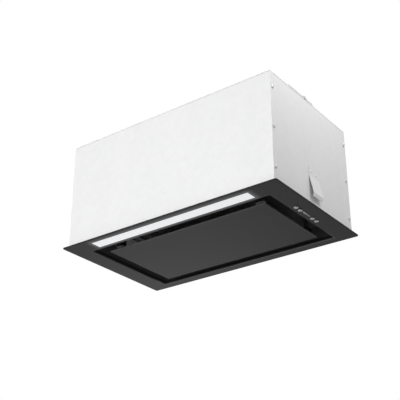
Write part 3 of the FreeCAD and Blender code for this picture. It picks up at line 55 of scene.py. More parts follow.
class Tap:
    """A socket in a finish's node tree: sums and products of taps add Math nodes, node() adds any other."""

    def __init__(self, tree, socket=None):
        self.tree = tree
        self.socket = socket

    def node(self, kind, settings, sockets, output=0):
        """Adds a node of that kind, sets it, fills its sockets with values or links, and taps its output."""
        made = self.tree.nodes.new("ShaderNode" + kind)
        for name, value in settings.items():
            setattr(made, name, value)
        for name, value in sockets.items():
            if isinstance(value, Tap):
                self.tree.links.new(value.socket, made.inputs[name])
            else:
                made.inputs[name].default_value = value
        return Tap(self.tree, made.outputs[output])

    def math(self, operation, first, second):
        return self.node("Math", {"operation": operation}, {0: first, 1: second})

    def __add__(self, other):
        return self.math("ADD", self, other)

    def __sub__(self, other):
        return self.math("SUBTRACT", self, other)

    def __rsub__(self, other):
        return self.math("SUBTRACT", other, self)

    def __mul__(self, other):
        return self.math("MULTIPLY", self, other)

    def __pow__(self, other):
        return self.math("POWER", self, other)

    def __abs__(self):
        return self.math("ABSOLUTE", self, 0.0)

    __radd__ = __add__
    __rmul__ = __mul__


EVEN = (1.0, 1.0, 1.0)
SOFT = 2.0
FINE = 3.0


def mixed(share, first, second):
    """A colour that goes from the first to the second as the share goes from 0 to 1."""
    ends = [end if isinstance(end, Tap) else (*end, 1.0) for end in (first, second)]
    return share.node("Mix", {"data_type": "RGBA"}, {0: share, 6: ends[0], 7: ends[1]}, 2)


def graded(share, first, second):
    """A value that goes from the first to the second as the share goes from 0 to 1."""
    return first + (second - first) * share


def clouds(place, size, detail=SOFT, stretch=EVEN):
    """Soft noise from 0 to 1 with patches about that many metres across, drawn out along an axis."""
    scale = tuple(1.0 / (size * drawn) for drawn in stretch)
    spread = place.node("Mapping", {}, {"Vector": place, "Scale": scale})
    return place.node("TexNoise", {}, {"Vector": spread, "Scale": 1.0, "Detail": detail})


def cells(place, size):
    """A random value from 0 to 1 for each of many cells about that many metres across."""
    colour = place.node("TexVoronoi", {}, {"Vector": place, "Scale": 1.0 / size}, "Color")
    return place.node("SeparateColor", {}, {"Color": colour})


def raised(height, depth):
    """Surface normals for a height from 0 to 1 that stands that many metres deep."""
    return height.node("Bump", {}, {"Strength": 1.0, "Distance": depth, "Height": height})


def finish(name, pattern, fixed):
    """A material: pattern(place) gives the sockets that vary over the surface, fixed the ones that don't."""
    material = bpy.data.materials.new(name)
    material.use_nodes = True
    tree = material.node_tree
    shader = tree.nodes["Principled BSDF"]
    for socket, value in fixed.items():
        shader.inputs[socket].default_value = value
    place = Tap(tree).node("TexCoord", {}, {}, "Object")
    for socket, tap in pattern(place).items():
        tree.links.new(tap.socket, shader.inputs[socket])
    return material


def dress(material, *names):
    """Gives CAD nodes a finish."""
    for name in names:
        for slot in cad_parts[name].material_slots:
            slot.material = material


CRYSTAL = 0.009
CRYSTAL_SHARE = 0.35
STREAK = 0.05
STREAK_DRAWN = (1.0, 1.0, 7.0)
ZINC_DULL = (0.83, 0.833, 0.836)
ZINC_RUBBED = (0.89, 0.89, 0.89)
DIMPLE = 0.004
DIMPLE_DEPTH = 0.00004


def zinc_spangle(place):
    streak = clouds(place, STREAK, stretch=STREAK_DRAWN)
    tone = CRYSTAL_SHARE * cells(place, CRYSTAL) + (1.0 - CRYSTAL_SHARE) * streak
    return {
        "Base Color": mixed(tone, ZINC_DULL, ZINC_RUBBED),
        "Roughness": graded(tone, 0.62, 0.44),
        "Normal": raised(clouds(place, DIMPLE, FINE), DIMPLE_DEPTH),
    }


galvanised = finish("galvanised_sheet", zinc_spangle, {"Metallic": 0.1, "Specular IOR Level": 0.22})
dress(galvanised, "casing_front", "casing_back", "casing_left", "casing_right", "casing_top")

# Small pan-head screws of zinc-plated steel hold the casing's corners, roof, collar and motor bracket.
# They are cold-headed and threaded by rolling, and the plating leaves them bright with a faint blue cast.

BARE_METAL = {"Metallic": 1.0}
PLATING_MOTTLE = 0.003


def mottled(dark, pale, rough, patch, detail=FINE, stretch=EVEN):
    """A pattern for metal: soft patches that go from dark to pale and from one roughness to the other."""

    def pattern(place):
        mottle = clouds(place, patch, detail, stretch)
        return {"Base Color": mixed(mottle, dark, pale), "Roughness": graded(mottle, *rough)}

    return pattern


zinc_plate = mottled((0.50, 0.51, 0.53), (0.66, 0.67, 0.69), (0.28, 0.48), PLATING_MOTTLE)
plated_steel = finish("plated_steel", zinc_plate, BARE_METAL)
dress(plated_steel, "pan_screws")

# The blower's scroll is moulded in two half shells of dark grey glass-filled plastic that clip together.
# A duct of the same plastic carries the air from the scroll's throat up to the hole in the roof.

PLASTIC_FLOW = 0.04
PLASTIC_GRAIN = 0.0006
GRAIN_DEPTH = 0.00003
GRAIN_DULLS = 0.12


def moulded(dark, pale, gloss, grain=PLASTIC_GRAIN):
    """A pattern for moulded plastic: faint flow marks, and a spark-eroded grain that dulls the gloss."""

    def pattern(place):
        speck = clouds(place, grain, FINE)
        return {
            "Base Color": mixed(clouds(place, PLASTIC_FLOW), dark, pale),
            "Roughness": graded(speck, gloss, gloss + GRAIN_DULLS),
            "Normal": raised(speck, GRAIN_DEPTH),
        }

    return pattern


dark_plastic = moulded((0.095, 0.095, 0.10), (0.13, 0.13, 0.135), 0.5)
dress(finish("blower_plastic", dark_plastic, {}), "scroll_left", "scroll_right", "outlet_duct")

# The blower wheel is one moulding of undyed plastic with forward-curved blades between two rings.
# Its hub is pressed on the motor's ground steel shaft.

GRIND_LINE = 0.0008
GRIND_DRAWN = (0.2, 6.0, 6.0)

undyed_plastic = moulded((0.62, 0.61, 0.57), (0.72, 0.71, 0.68), 0.38)
dress(finish("wheel_plastic", undyed_plastic, {"Subsurface Weight": 0.05}), "impeller")
ground = mottled((0.52, 0.52, 0.53), (0.68, 0.68, 0.69), (0.18, 0.34), GRIND_LINE, SOFT, GRIND_DRAWN)
dress(finish("shaft_steel", ground, BARE_METAL), "motor_shaft")

# The motor is a stack of pressed steel laminations between two die-cast end shields.
# It hangs on a three-armed plated bracket through soft rubber bushes that keep its hum out of the casing.

BAND_RATE = 0.314
LAMINATION = 0.001256
LAMINATION_DEPTH = 0.00008
DUST_PATCH = 0.012
BLOOM_PATCH = 0.008
RUBBER_GRAIN = 0.0005
RUBBER_DEPTH = 0.00002


def bands(place, pitch):
    """Stripes from 0 to 1 that follow one another across the hood at that pitch."""
    across = {"wave_type": "BANDS", "bands_direction": "X"}
    return place.node("TexWave", across, {"Vector": place, "Scale": BAND_RATE / pitch})


def lamination_stack(place):
    dust = clouds(place, DUST_PATCH, FINE)
    return {
        "Base Color": mixed(dust, (0.24, 0.245, 0.26), (0.36, 0.365, 0.38)),
        "Roughness": graded(dust, 0.38, 0.58),
        "Normal": raised(bands(place, LAMINATION), LAMINATION_DEPTH),
    }


def soft_rubber(place):
    bloom = clouds(place, BLOOM_PATCH, FINE)
    return {
        "Base Color": mixed(bloom, (0.022, 0.022, 0.022), (0.042, 0.042, 0.041)),
        "Roughness": graded(bloom, 0.72, 0.86),
        "Normal": raised(clouds(place, RUBBER_GRAIN), RUBBER_DEPTH),
    }


dress(finish("motor_steel", lamination_stack, {"Metallic": 0.85}), "motor")
dress(finish("black_rubber", soft_rubber, {"Specular IOR Level": 0.25}), "motor_bushes", "lead_grommet")
dress(plated_steel, "motor_bracket")

# The outlet collar is moulded in black plastic and screwed to the roof, with a lead-in at its rim.
# Two thin flaps of a like plastic swing on one steel pin, and fall shut when the blower stops.

SATIN_PLASTIC = {"Specular IOR Level": 0.35}

collar_black = moulded((0.024, 0.024, 0.026), (0.04, 0.04, 0.042), 0.42)
dress(finish("collar_plastic", collar_black, SATIN_PLASTIC), "outlet_collar")
flap_black = moulded((0.045, 0.045, 0.048), (0.07, 0.07, 0.073), 0.46)
dress(finish("flap_plastic", flap_black, SATIN_PLASTIC), "flap_front", "flap_back")
dress(plated_steel, "flap_pin")

# The terminal box, its snap-on lid and the gland for the mains lead are moulded in pale grey plastic.
# Inside are a green circuit board with its relays, a white capacitor can and the grey leads.

CAN_GRAIN = 0.002
SHEATH_GRAIN = 0.001

box_grey = moulded((0.64, 0.64, 0.62), (0.74, 0.74, 0.72), 0.44)
dress(finish("box_plastic", box_grey, {}), "terminal_box", "terminal_lid", "cable_gland")
can_white = moulded((0.72, 0.72, 0.70), (0.82, 0.82, 0.80), 0.25, CAN_GRAIN)
dress(finish("capacitor_can", can_white, {}), "capacitor")
sheath_grey = moulded((0.38, 0.38, 0.38), (0.48, 0.48, 0.48), 0.36, SHEATH_GRAIN)
dress(finish("lead_sheath", sheath_grey, {}), "wiring_leads")

TRACK = 0.0042
TRACK_DEPTH = 0.00003
TRACK_GAP = 0.05
BRICK_ROW = 0.25
MASK_PATCH = 0.01


def solder_mask(place):
    """Green lacquer over a net of copper tracks, which stand proud and show paler."""
    net = place.node("TexBrick", {"offset": 0.5}, {
        "Vector": place, "Scale": BRICK_ROW / TRACK, "Mortar Size": TRACK_GAP,
        "Color1": (0.0, 0.0, 0.0, 1.0), "Color2": (0.35, 0.35, 0.35, 1.0), "Mortar": (1.0, 1.0, 1.0, 1.0),
    }, "Color")
    copper = place.node("SeparateColor", {}, {"Color": net})
    return {
        "Base Color": mixed(copper, (0.02, 0.13, 0.05), (0.06, 0.27, 0.11)),
        "Roughness": graded(clouds(place, MASK_PATCH), 0.3, 0.45),
        "Normal": raised(copper, TRACK_DEPTH),
    }


dress(finish("circuit_board", solder_mask, {}), "power_board", "control_board", "light_board")

# The fascia is one plate of 1.2 mm steel with a folded rim, pressed up round the suction opening.
# It is powder-coated in fine satin black, with a painted highlight on the fold behind the panel and along
# its outer rim, and a painted glow stands for the soft edge of light that the lit strip along its front
# throws on it.

COAT_PATCH = 0.11
COAT_GRAIN = 0.0007
COAT_DEPTH = 0.00002
PEEL_SHARE = 0.4
COAT_DARK = (0.014, 0.014, 0.0145)
COAT_PALE = (0.022, 0.022, 0.0225)
# A pale grey that paints highlights on the fascia's fold behind the panel and along the panel's rolled edge.
COAT_HIGHLIGHT = (0.15, 0.15, 0.152)
# A paler grey that paints a highlight along the fascia's outer rim.
FASCIA_RIM_HIGHLIGHT = (0.034, 0.034, 0.0345)
BLACK_GLOSS = {"Specular IOR Level": 0.12}
SLOT_SIDE = 0.0265
SLOT_END = 0.023
FOLD_W = 0.003
RIM_W = 0.0015
LENS_STEP = 0.0012
GLOW_REACH = 0.016
GLOW_LEVEL = 0.11
NO_LIGHT = (0.0, 0.0, 0.0)
LENS_LIGHT = (0.95, 0.97, 1.0)
WHITE_LIGHT = (1.0, 1.0, 1.0)


def powder_coat(place):
    """Baked powder: an even black with a fine orange peel and faint broad variation."""
    peel = clouds(place, COAT_GRAIN)
    tone = (1.0 - PEEL_SHARE) * clouds(place, COAT_PATCH) + PEEL_SHARE * peel
    return {
        "Base Color": mixed(tone, COAT_DARK, COAT_PALE),
        "Roughness": graded(peel, 0.52, 0.62),
        "Normal": raised(peel, COAT_DEPTH),
    }


def along(place, axis):
    """A place's distance from the origin along one axis."""
    return place.node("SeparateXYZ", {}, {"Vector": place}, axis)


def past(value, low, high):
    """How far a value lies past either end of a range, and 0 inside it."""
    return value.math("MAXIMUM", abs(value - (low + high) / 2) - (high - low) / 2, 0.0)


def past_plate(place, low, high):
    """How far a place lies outside the level rectangle between two corners, and 0 over it."""
    x, y = [along(place, axis) for axis in "XY"]
    return (past(x, low.x, high.x) ** 2.0 + past(y, low.y, high.y) ** 2.0) ** 0.5


def fading(distance, reach):
    """1 where the distance is 0, and falling to 0 where it is the reach."""
    return distance.math("MAXIMUM", 1.0 - distance * (1.0 / reach), 0.0)


def outer_rim(place, name, width):
    """0 over a flat node, and rising to 1 at its outline over the width of its rim."""
    inset = Vector((width, width, 0.0))
    low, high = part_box(name)
    return 1.0 - fading(past_plate(place, low + inset, high - inset), width)


def lens_glow(place):
    """The light that the lens throws on what frames it."""
    step = Vector((LENS_STEP, LENS_STEP, 0.0))
    low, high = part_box("light_lens")
    glow = fading(past_plate(place, low + step, high - step), GLOW_REACH) ** 2.0
    return mixed(glow, NO_LIGHT, LENS_LIGHT)


def fascia_coat_and_light(place):
    coat = powder_coat(place)
    slot = Vector((SLOT_SIDE, SLOT_END, 0.0))
    low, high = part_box("suction_panel")
    near = fading(past_plate(place, low - slot, high + slot), FOLD_W)
    face = fading(past(along(place, "Z"), low.z, low.z), FOLD_W)
    behind = fading(past(along(place, "Y"), high.y, high.y + 2 * SLOT_END), SLOT_END)
    # Painted highlight: the coat turns pale on the fold behind the panel, where its rounded edge would catch
    # the light.
    folded = mixed(near * face * behind, coat["Base Color"], COAT_HIGHLIGHT)
    # Painted highlight: a paler rim along the fascia's outline.
    coat["Base Color"] = mixed(outer_rim(place, "fascia", RIM_W), folded, FASCIA_RIM_HIGHLIGHT)
    # Painted light: the glow of the lit strip on the fascia is painted into the coat's emission.
    coat["Emission Color"] = lens_glow(place)
    return coat


dress(finish("fascia_coat_and_light", fascia_coat_and_light, {**BLACK_GLOSS, "Emission Strength": GLOW_LEVEL}), "fascia")

# The tray over the opening is drawn from thin sheet, and its foot is welded to the fascia.
# It has the same black coat mixed toward a dark grey, partly on its ceiling and fully on its drawn walls:
# partly the tray's own tone, and partly painted light that stands in for the light reaching in through the
# slots, most of all on the walls.
# The hinge brackets that hang from its ceiling are folded steel with that coat and its painted light.

TRAY_BEND = 0.006
TRAY_PATCH = 0.03
TRAY_GREY_AND_LIGHT = (0.085, 0.085, 0.087)
TRAY_FLAT = 0.55
FILM_LEAST = 0.7


def tray_coat_and_light(place):
    coat = powder_coat(place)
    low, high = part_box("intake_well")
    wall = fading(past(along(place, "Z"), low.z, high.z - TRAY_BEND), TRAY_BEND)
    film = graded(clouds(place, TRAY_PATCH, FINE), FILM_LEAST, 1.0)
    # Painted light: the walls are mixed further toward the grey than the ceiling. This stands in for the
    # light they catch through the slots, and the cloud varies the share at random.
    coat["Base Color"] = mixed(graded(wall, TRAY_FLAT, 1.0) * film, coat["Base Color"], TRAY_GREY_AND_LIGHT)
    return coat


tray_black_and_light = finish("tray_coat_and_light", tray_coat_and_light, BLACK_GLOSS)
dress(tray_black_and_light, "intake_well", "hinge_bracket_right", "hinge_bracket_left")

# The suction panel is a flat steel plate with two pressed channels behind it and two welded arms,
# and swings on blackened pins. It has the same coat, with a painted highlight along its rolled edge.

PANEL_RIM = 0.0015


def panel_coat_and_highlight(place):
    coat = powder_coat(place)
    # Painted highlight: the coat turns pale along the panel's outline.
    coat["Base Color"] = mixed(outer_rim(place, "suction_panel", PANEL_RIM), coat["Base Color"], COAT_HIGHLIGHT)
    return coat


dress(finish("panel_coat_and_highlight", panel_coat_and_highlight, BLACK_GLOSS), "suction_panel")
dress(finish("satin_black_coat", powder_coat, BLACK_GLOSS), "panel_ribs", "hinge_pins")
# The arms take the tray's coat with its painted light, so that they match the lit ceiling.
dress(tray_black_and_light, "hinge_arm_right", "hinge_arm_left")

# A thin plate in grey paint is clipped under the tray's ceiling to the left of the filter. It has a pressed
# field inside a flat border.
# Its pale paint is painted light: it stands in for the light on that part of the ceiling, and shows as a
# light patch through the front slot.

PLATE_T = 0.0012
PLATE_CORNER = 0.002
PLATE_CORNER_STEPS = 4
PLATE_BORDER = 0.004
PLATE_PRESS = 0.0004
PLATE_CLEAR = 0.005
PLATE_SIDE = 0.046
PAINT_PATCH = 0.02


def new_piece(name, work, material, body):
    """Turns a bmesh into a piece with its own finish that moves with a body."""
    mesh = bpy.data.meshes.new(name)
    work.to_mesh(mesh)
    work.free()
    mesh.materials.append(material)
    piece = bpy.data.objects.new(name, mesh)
    bpy.context.scene.collection.objects.link(piece)
    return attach(piece, body)


# Painted light: a pale grey that stands in for light on the tray's ceiling.
def painted_light_grey(place):
    film = clouds(place, PAINT_PATCH, FINE)
    return {
        "Base Color": mixed(film, (0.24, 0.24, 0.245), (0.30, 0.30, 0.305)),
        "Roughness": graded(film, 0.5, 0.62),
        "Normal": raised(clouds(place, COAT_GRAIN), COAT_DEPTH),
    }


plate_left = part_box("intake_well")[0].x + 2 * PLATE_CLEAR
plate_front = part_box("catch_holder_left")[1].y + PLATE_CLEAR
plate_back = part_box("hinge_bracket_left")[0].y - PLATE_CLEAR
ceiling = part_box("catch_holder_left")[1].z
plate_low = Vector((plate_left, plate_front, ceiling - PLATE_T))
plate_high = Vector((plate_left + PLATE_SIDE, plate_back, ceiling))
plate = bmesh.new()
bmesh.ops.create_cube(plate, size=1.0)
bmesh.ops.scale(plate, vec=plate_high - plate_low, verts=plate.verts)
bmesh.ops.translate(plate, vec=(plate_low + plate_high) / 2, verts=plate.verts)
under = [face for face in plate.faces if face.normal.z < -0.5]
bmesh.ops.inset_region(plate, faces=under, thickness=PLATE_BORDER, use_even_offset=True)
bmesh.ops.translate(plate, vec=(0.0, 0.0, PLATE_PRESS), verts=under[0].verts)
upright = [edge for edge in plate.edges if abs(edge.verts[0].co.z - edge.verts[1].co.z) > PLATE_T / 2]
bmesh.ops.bevel(
    plate, geom=upright, offset=PLATE_CORNER, segments=PLATE_CORNER_STEPS, profile=0.5, affect="EDGES",
    material=-1,
)
new_piece("light_patch_plate", plate, finish("painted_light_grey", painted_light_grey, {"Specular IOR Level": 0.3}), "hood")

# A flat ring of closed-cell foam lies on the fascia's rim and seals it to the unit.
# It is die-cut from sheet and sticks by its own adhesive face.

PORE = 0.0011
PORE_DEPTH = 0.00012


def foam_cells(place):
    pore = place.node("TexVoronoi", {}, {"Vector": place, "Scale": 1.0 / PORE}, "Distance")
    return {
        "Base Color": mixed(pore, (0.028, 0.028, 0.03), (0.07, 0.07, 0.073)),
        "Roughness": graded(pore, 0.85, 0.95),
        "Normal": raised(pore, PORE_DEPTH),
    }


dress(finish("closed_cell_foam", foam_cells, {"Specular IOR Level": 0.2}), "flange_seal")

# Two leaf springs of galvanised strip hold the hood up in the cut-out.
# Each is fixed to the casing's side by two plated rivets with low domed heads.

dress(galvanised, "side_spring_right", "side_spring_left")

RIVET_R = 0.003
RIVET_H = 0.0011
RIVET_PITCH = 0.02
RIVET_STEPS = 16
RIVET_DOME = ((1.0, 0.0), (0.86, 0.5), (0.5, 0.86), (0.0, 1.0))
LEAF_SHEET = 0.0008
LEAF_FOOT = 0.022
MERGE = 0.00001

leaf_low, leaf_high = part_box("side_spring_right")
rivet_seat = Vector((leaf_low.x + LEAF_SHEET, RIVET_PITCH / 2, leaf_high.z - LEAF_FOOT / 2))
rivets = bmesh.new()
dome = []
for out, side in RIVET_DOME:
    dome.append(rivets.verts.new(rivet_seat + Vector((out * RIVET_H, side * RIVET_R, 0.0))))
for pair in zip(dome, dome[1:]):
    rivets.edges.new(pair)
bmesh.ops.spin(
    rivets, geom=rivets.verts[:] + rivets.edges[:], cent=rivet_seat, axis=(1.0, 0.0, 0.0),
    angle=math.tau, steps=RIVET_STEPS, use_merge=True,
)
bmesh.ops.remove_doubles(rivets, verts=rivets.verts, dist=MERGE)
bmesh.ops.holes_fill(rivets, edges=rivets.edges)
for axis in "YX":
    every = rivets.verts[:] + rivets.edges[:] + rivets.faces[:]
    bmesh.ops.mirror(rivets, geom=every, matrix=Matrix.Identity(4), merge_dist=0.0, axis=axis)
bmesh.ops.recalc_face_normals(rivets, faces=rivets.faces)
spring_rivets = new_piece("spring_rivets", rivets, plated_steel, "hood")

# Each catch is a moulded black holder under the tray's ceiling with a nickel-plated magnet pressed in.
# The panel's strikers are zinc-plated steel blocks, which stop just short of the magnets that hold them.

CATCH_MOTTLE = 0.002

trim_moulding = moulded((0.02, 0.02, 0.021), (0.034, 0.034, 0.035), 0.45)
black_trim = finish("black_trim", trim_moulding, {"Specular IOR Level": 0.3})
dress(black_trim, "catch_holder_right", "catch_holder_left")
nickel = mottled((0.60, 0.59, 0.56), (0.72, 0.71, 0.68), (0.12, 0.24), CATCH_MOTTLE, SOFT)
dress(finish("nickel_plate", nickel, BARE_METAL), "catch_magnets")
dull_zinc = mottled((0.58, 0.58, 0.585), (0.70, 0.70, 0.705), (0.5, 0.65), CATCH_MOTTLE)
dress(finish("dull_zinc", dull_zinc, {"Metallic": 0.2}), "striker_right", "striker_left")

# The filter is held by a moulded latch that slides in a cup at its front.
# A coil of bare drawn spring wire, bedded between the latch and the cup's back, returns it.

dress(black_trim, "latch_cup", "filter_latch")

COIL_R = 0.0022
COIL_WIRE = 0.0005
COIL_TURNS = 5
COIL_STEPS = 24
WIRE_STEPS = 8
WIRE_LINE = 0.0012
WIRE_DRAWN = (1.0, 1.0, 9.0)

drawn_wire = mottled((0.40, 0.40, 0.42), (0.60, 0.60, 0.62), (0.2, 0.38), WIRE_LINE, SOFT, WIRE_DRAWN)
coil_low, coil_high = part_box("latch_spring")
coil_length = coil_high.y - coil_low.y
coil_start = Vector((0.0, coil_low.y + COIL_WIRE / 2, (coil_low.z + coil_high.z) / 2))
coil_steps = COIL_TURNS * COIL_STEPS
coil = bmesh.new()
bmesh.ops.create_circle(coil, cap_ends=False, radius=COIL_WIRE / 2, segments=WIRE_STEPS)
bmesh.ops.translate(coil, vec=coil_start + Vector((COIL_R, 0.0, 0.0)), verts=coil.verts)
bmesh.ops.spin(
    coil, geom=coil.verts[:] + coil.edges[:], cent=coil_start, axis=(0.0, 1.0, 0.0),
    dvec=(0.0, (coil_length - COIL_WIRE) / coil_steps, 0.0), angle=math.tau * COIL_TURNS,
    steps=coil_steps, use_merge=False,
)
bmesh.ops.holes_fill(coil, edges=coil.edges)
bmesh.ops.recalc_face_normals(coil, faces=coil.faces)
for face in coil.faces:
    face.smooth = True
latch_coil = new_piece("latch_coil", coil, finish("spring_strip", drawn_wire, BARE_METAL), "hood")
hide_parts("latch_spring")
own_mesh(latch_coil)

# The grease filter is two layers of expanded aluminium mesh, crossed and clamped in a folded frame.
# Each layer is slit and stretched from one sheet, so that its gaps are diamonds, and is coated dark grey.

MESH_LONG = 0.009
MESH_SHORT = 0.0045
STRAND = 0.0006
STRAND_T = 0.0007
STRAND_WEAR = 0.0014


def mesh_layer(work, low, high, level, turned):
    """Adds one sheet: a diamond grid cut to the box, with each gap opened and the strands thickened."""
    width, depth = high.x - low.x, high.y - low.y
    long, short = (MESH_SHORT, MESH_LONG) if turned else (MESH_LONG, MESH_SHORT)
    rows = math.ceil(width / long + depth / short) + 1
    sheet = bmesh.new()
    bmesh.ops.create_grid(sheet, x_segments=rows, y_segments=rows, size=rows / 2)
    spin = Matrix.Rotation(math.radians(45), 4, "Z")
    spread = Matrix.Diagonal((long / math.sqrt(2), short / math.sqrt(2), 1.0, 1.0))
    middle = Vector(((low.x + high.x) / 2, (low.y + high.y) / 2, level))
    bmesh.ops.transform(sheet, matrix=Matrix.Translation(middle) @ spread @ spin, verts=sheet.verts)
    for corner, normal in ((low, (-1, 0, 0)), (low, (0, -1, 0)), (high, (1, 0, 0)), (high, (0, 1, 0))):
        every = sheet.verts[:] + sheet.edges[:] + sheet.faces[:]
        bmesh.ops.bisect_plane(sheet, geom=every, plane_co=corner, plane_no=normal, clear_outer=True)
    gaps = sheet.faces[:]
    bmesh.ops.inset_individual(sheet, faces=gaps, thickness=STRAND, use_even_offset=True)
    bmesh.ops.delete(sheet, geom=gaps, context="FACES")
    bmesh.ops.solidify(sheet, geom=sheet.faces[:], thickness=STRAND_T)
    bmesh.ops.recalc_face_normals(sheet, faces=sheet.faces)
    made = bpy.data.meshes.new("layer")
    sheet.to_mesh(made)
    sheet.free()
    work.from_mesh(made)
    bpy.data.meshes.remove(made)


coated_strand = mottled((0.22, 0.22, 0.223), (0.32, 0.32, 0.324), (0.62, 0.47), STRAND_WEAR)
strand_coat = finish("coated_mesh", coated_strand, BLACK_GLOSS)
mesh_low, mesh_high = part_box("filter_mesh")
layers = bmesh.new()
mesh_layer(layers, mesh_low, mesh_high, mesh_low.z + STRAND_T, False)
mesh_layer(layers, mesh_low, mesh_high, mesh_high.z - STRAND_T, True)
expanded_mesh = new_piece("expanded_mesh", layers, strand_coat, "hood")
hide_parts("filter_mesh")
dress(strand_coat, "filter_frame")

# The light strip is an opal acrylic lens in a slim dark bezel, sprung into the front of the fascia.
# An extruded aluminium tray above it carries the row of diodes, which light the lens evenly.

DIE_LINE = 0.0014
DIE_DRAWN = (14.0, 1.0, 1.0)
DIODE_PITCH = 0.016
LENS_LEVEL = 0.46
LENS_GRAIN = 0.001

bezel_moulding = moulded((0.018, 0.018, 0.0185), (0.028, 0.028, 0.0285), 0.5)


def bezel_lit(place):
    return {**bezel_moulding(place), "Emission Color": lens_glow(place)}


def lit_opal(place):
    glow = bands(place, DIODE_PITCH)
    return {
        "Base Color": mixed(glow, (0.60, 0.61, 0.62), (0.62, 0.63, 0.64)),
        "Emission Color": mixed(glow, LENS_LIGHT, WHITE_LIGHT),
        "Roughness": graded(clouds(place, LENS_GRAIN), 0.4, 0.5),
    }


dress(finish("lit_bezel", bezel_lit, {**BLACK_GLOSS, "Emission Strength": GLOW_LEVEL}), "light_bezel")
opal_gloss = {"Emission Strength": LENS_LEVEL, "Specular IOR Level": 0.3}
dress(finish("lit_opal_lens", lit_opal, opal_gloss), "light_lens")
extruded = mottled((0.70, 0.71, 0.72), (0.82, 0.83, 0.84), (0.3, 0.5), DIE_LINE, SOFT, DIE_DRAWN)
dress(finish("mill_aluminium", extruded, BARE_METAL), "light_housing")

# Four round push-buttons stand in a row on the right rail, two on each side of a slim light guide.
# Each has a turned cap with a shallow dish for the fingertip, blasted to a satin grey, with a dark spot of
# painted shade a little off the middle of the dish.
# A black moulded housing on the upper face of the rail carries them and the guide.

BLAST_GRAIN = 0.0003
BLAST_DEPTH = 0.00001
CAP_SHADE_R = 0.0027
CAP_SHADE_SHIFT = Vector((0.0016, -0.0012, 0.0))
CAP_SHADE_TONE = (0.07, 0.07, 0.072)
CAP_SHADE_EDGE = 3.0


def satin_cap(place):
    blast = clouds(place, BLAST_GRAIN, FINE)
    return {
        "Base Color": mixed(blast, (0.40, 0.40, 0.41), (0.54, 0.54, 0.55)),
        "Roughness": graded(blast, 0.34, 0.5),
        "Normal": raised(blast, BLAST_DEPTH),
    }


def cap_with_painted_shade(name):
    """The cap's pattern with a dark spot of painted shade, a little off the middle of its dish."""
    low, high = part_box(name)
    shade_centre = Vector(((low.x + high.x) / 2, (low.y + high.y) / 2, low.z)) + CAP_SHADE_SHIFT

    def pattern(place):
        cap = satin_cap(place)
        away = place.node("VectorMath", {"operation": "DISTANCE"}, {0: place, 1: shade_centre}, "Value")
        cap_shade = place.math("MINIMUM", CAP_SHADE_EDGE * fading(away, CAP_SHADE_R), 1.0)
        # Painted shade: a dark spot off the middle of the cap, where its dish would be in shade.
        cap["Base Color"] = mixed(cap_shade, cap["Base Color"], CAP_SHADE_TONE)
        return cap

    return pattern


for name in ("button_power", "button_slower", "button_faster", "button_light"):
    dress(finish(name + "_cap", cap_with_painted_shade(name), {"Metallic": 0.7}), name)
dress(black_trim, "control_housing")

GUIDE_PATCH = 0.004
GUIDE_LEVEL = 0.28
GUIDE_UNLIT = (0.05, 0.05, 0.06)
DIODE_AT = 0.28
DIODE_REACH = 0.006
DIODE_SHARE = 0.65


def lit_guide(place):
    """A clear bar that is lit from one point and dims away from it."""
    low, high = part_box("indicator_bar")
    length = high.y - low.y
    diode = low.y + DIODE_AT * length
    ahead = along(place, "Y")
    spot = fading(past(ahead, diode, diode), DIODE_REACH)
    spread = fading(past(ahead, low.y, diode), length)
    light = (1.0 - DIODE_SHARE) * spread + DIODE_SHARE * spot
    return {
        "Base Color": mixed(clouds(place, GUIDE_PATCH), (0.17, 0.175, 0.18), (0.23, 0.235, 0.24)),
        "Emission Color": mixed(light, GUIDE_UNLIT, WHITE_LIGHT),
    }


guide_gloss = {"Emission Strength": GUIDE_LEVEL, "Roughness": 0.25}
dress(finish("lit_light_guide", lit_guide, guide_gloss), "indicator_bar")

# The studio is a pale floor below the hood, and soft light from panels on all sides of it.
# The camera looks up at the hood from the front right, as a cook would.

FLOOR_LEVEL = -1.8
FLOOR_SIZE = 14.0
FLOOR_PATCH = 0.6
FLOOR_LIFT = 0.18
FLOOR_FADE = 0.8
FLOOR_NEAR = 3.5
FLOOR_FAR = 10.0


def background_rays(start):
    """1 for the rays that see the background straight, in a mirror or through glass, and 0 for the rest."""
    kinds = ("Is Camera Ray", "Is Glossy Ray", "Is Transmission Ray")
    camera, glossy, through = [start.node("LightPath", {}, {}, kind) for kind in kinds]
    return start.math("MINIMUM", camera + glossy + through, 1.0)


def floor_paint(place):
    """Pale paint that fades into the white background far from the hood."""
    away = place.node("VectorMath", {"operation": "LENGTH"}, {0: place}, "Value")
    far = 1.0 - fading(past(away, 0.0, FLOOR_NEAR), FLOOR_FAR - FLOOR_NEAR)
    lift = background_rays(place) * graded(far, FLOOR_LIFT, FLOOR_FADE)
    return {
        "Base Color": mixed(clouds(place, FLOOR_PATCH), (0.84, 0.84, 0.84), (0.87, 0.87, 0.87)),
        "Emission Color": mixed(lift, NO_LIGHT, WHITE_LIGHT),
    }


floor_work = bmesh.new()
bmesh.ops.create_grid(floor_work, x_segments=1, y_segments=1, size=FLOOR_SIZE)
bmesh.ops.translate(floor_work, vec=(0.0, 0.0, FLOOR_LEVEL), verts=floor_work.verts)
floor_mesh = bpy.data.meshes.new("floor")
floor_work.to_mesh(floor_mesh)
floor_work.free()
floor_gloss = {"Roughness": 0.9, "Specular IOR Level": 0.1, "Emission Strength": 1.0}
floor_mesh.materials.append(finish("floor_paint", floor_paint, floor_gloss))
floor = bpy.data.objects.new("floor", floor_mesh)
bpy.context.scene.collection.objects.link(floor)

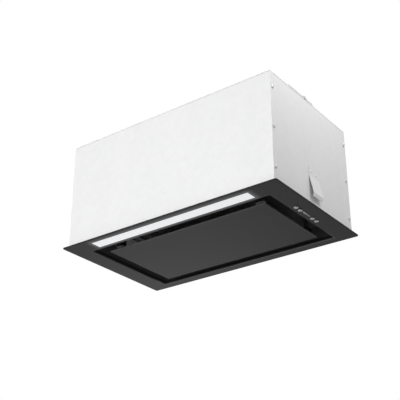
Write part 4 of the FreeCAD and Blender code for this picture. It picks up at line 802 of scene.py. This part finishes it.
AMBIENT = 0.28
SKY = (1.0, 1.0, 1.0, 1.0)

world = bpy.data.worlds.new("studio")
bpy.context.scene.world = world
world.use_nodes = True
sky = Tap(world.node_tree)
plain = sky.node("Background", {}, {"Color": SKY, "Strength": AMBIENT})
white = sky.node("Background", {}, {"Color": SKY, "Strength": 1.0})
both = sky.node("MixShader", {}, {0: background_rays(sky), 1: plain, 2: white})
world.node_tree.links.new(both.socket, world.node_tree.nodes["World Output"].inputs["Surface"])

HOOD_MIDDLE = Vector((0.0, 0.0, 0.12))


def soft_panel(name, place, size, level):
    """A square lamp aimed at the hood, as bright on a facing surface as the level says."""
    lamp = bpy.data.lights.new(name, "AREA")
    lamp.size = size
    aim = HOOD_MIDDLE - Vector(place)
    lamp.energy = level * math.pi ** 2 * aim.length_squared
    holder = bpy.data.objects.new(name, lamp)
    bpy.context.scene.collection.objects.link(holder)
    holder.location = place
    holder.rotation_mode = "QUATERNION"
    holder.rotation_quaternion = aim.to_track_quat("-Z", "Y")
    holder.visible_camera = False


soft_panel("front_panel", (-0.5, -2.6, 0.3), 1.6, 0.64)
soft_panel("right_panel", (0.66, -0.05, 0.54), 0.35, 0.335)
soft_panel("top_panel", (0.3, 0.6, 2.6), 1.6, 0.14)
soft_panel("back_panel", (-1.35, 1.6, -0.7), 1.0, 0.11)
soft_panel("rear_panel", (-0.7, 2.8, 0.7), 1.6, 0.3)

CAMERA_PLACE = Vector((0.9863, -1.3473, -0.7313))
CAMERA_AIM = Vector((-0.0208, 0.0, 0.1009))
CAMERA_LENS = 80.11
CAMERA_SENSOR = 36.0

lens = bpy.data.cameras.new("camera")
lens.lens = CAMERA_LENS
lens.sensor_width = CAMERA_SENSOR
camera = bpy.data.objects.new("camera", lens)
bpy.context.scene.collection.objects.link(camera)
camera.location = CAMERA_PLACE
camera.rotation_mode = "QUATERNION"
camera.rotation_quaternion = (CAMERA_AIM - CAMERA_PLACE).to_track_quat("-Z", "Y")
bpy.context.scene.camera = camera
bpy.context.scene.view_settings.view_transform = "Standard"
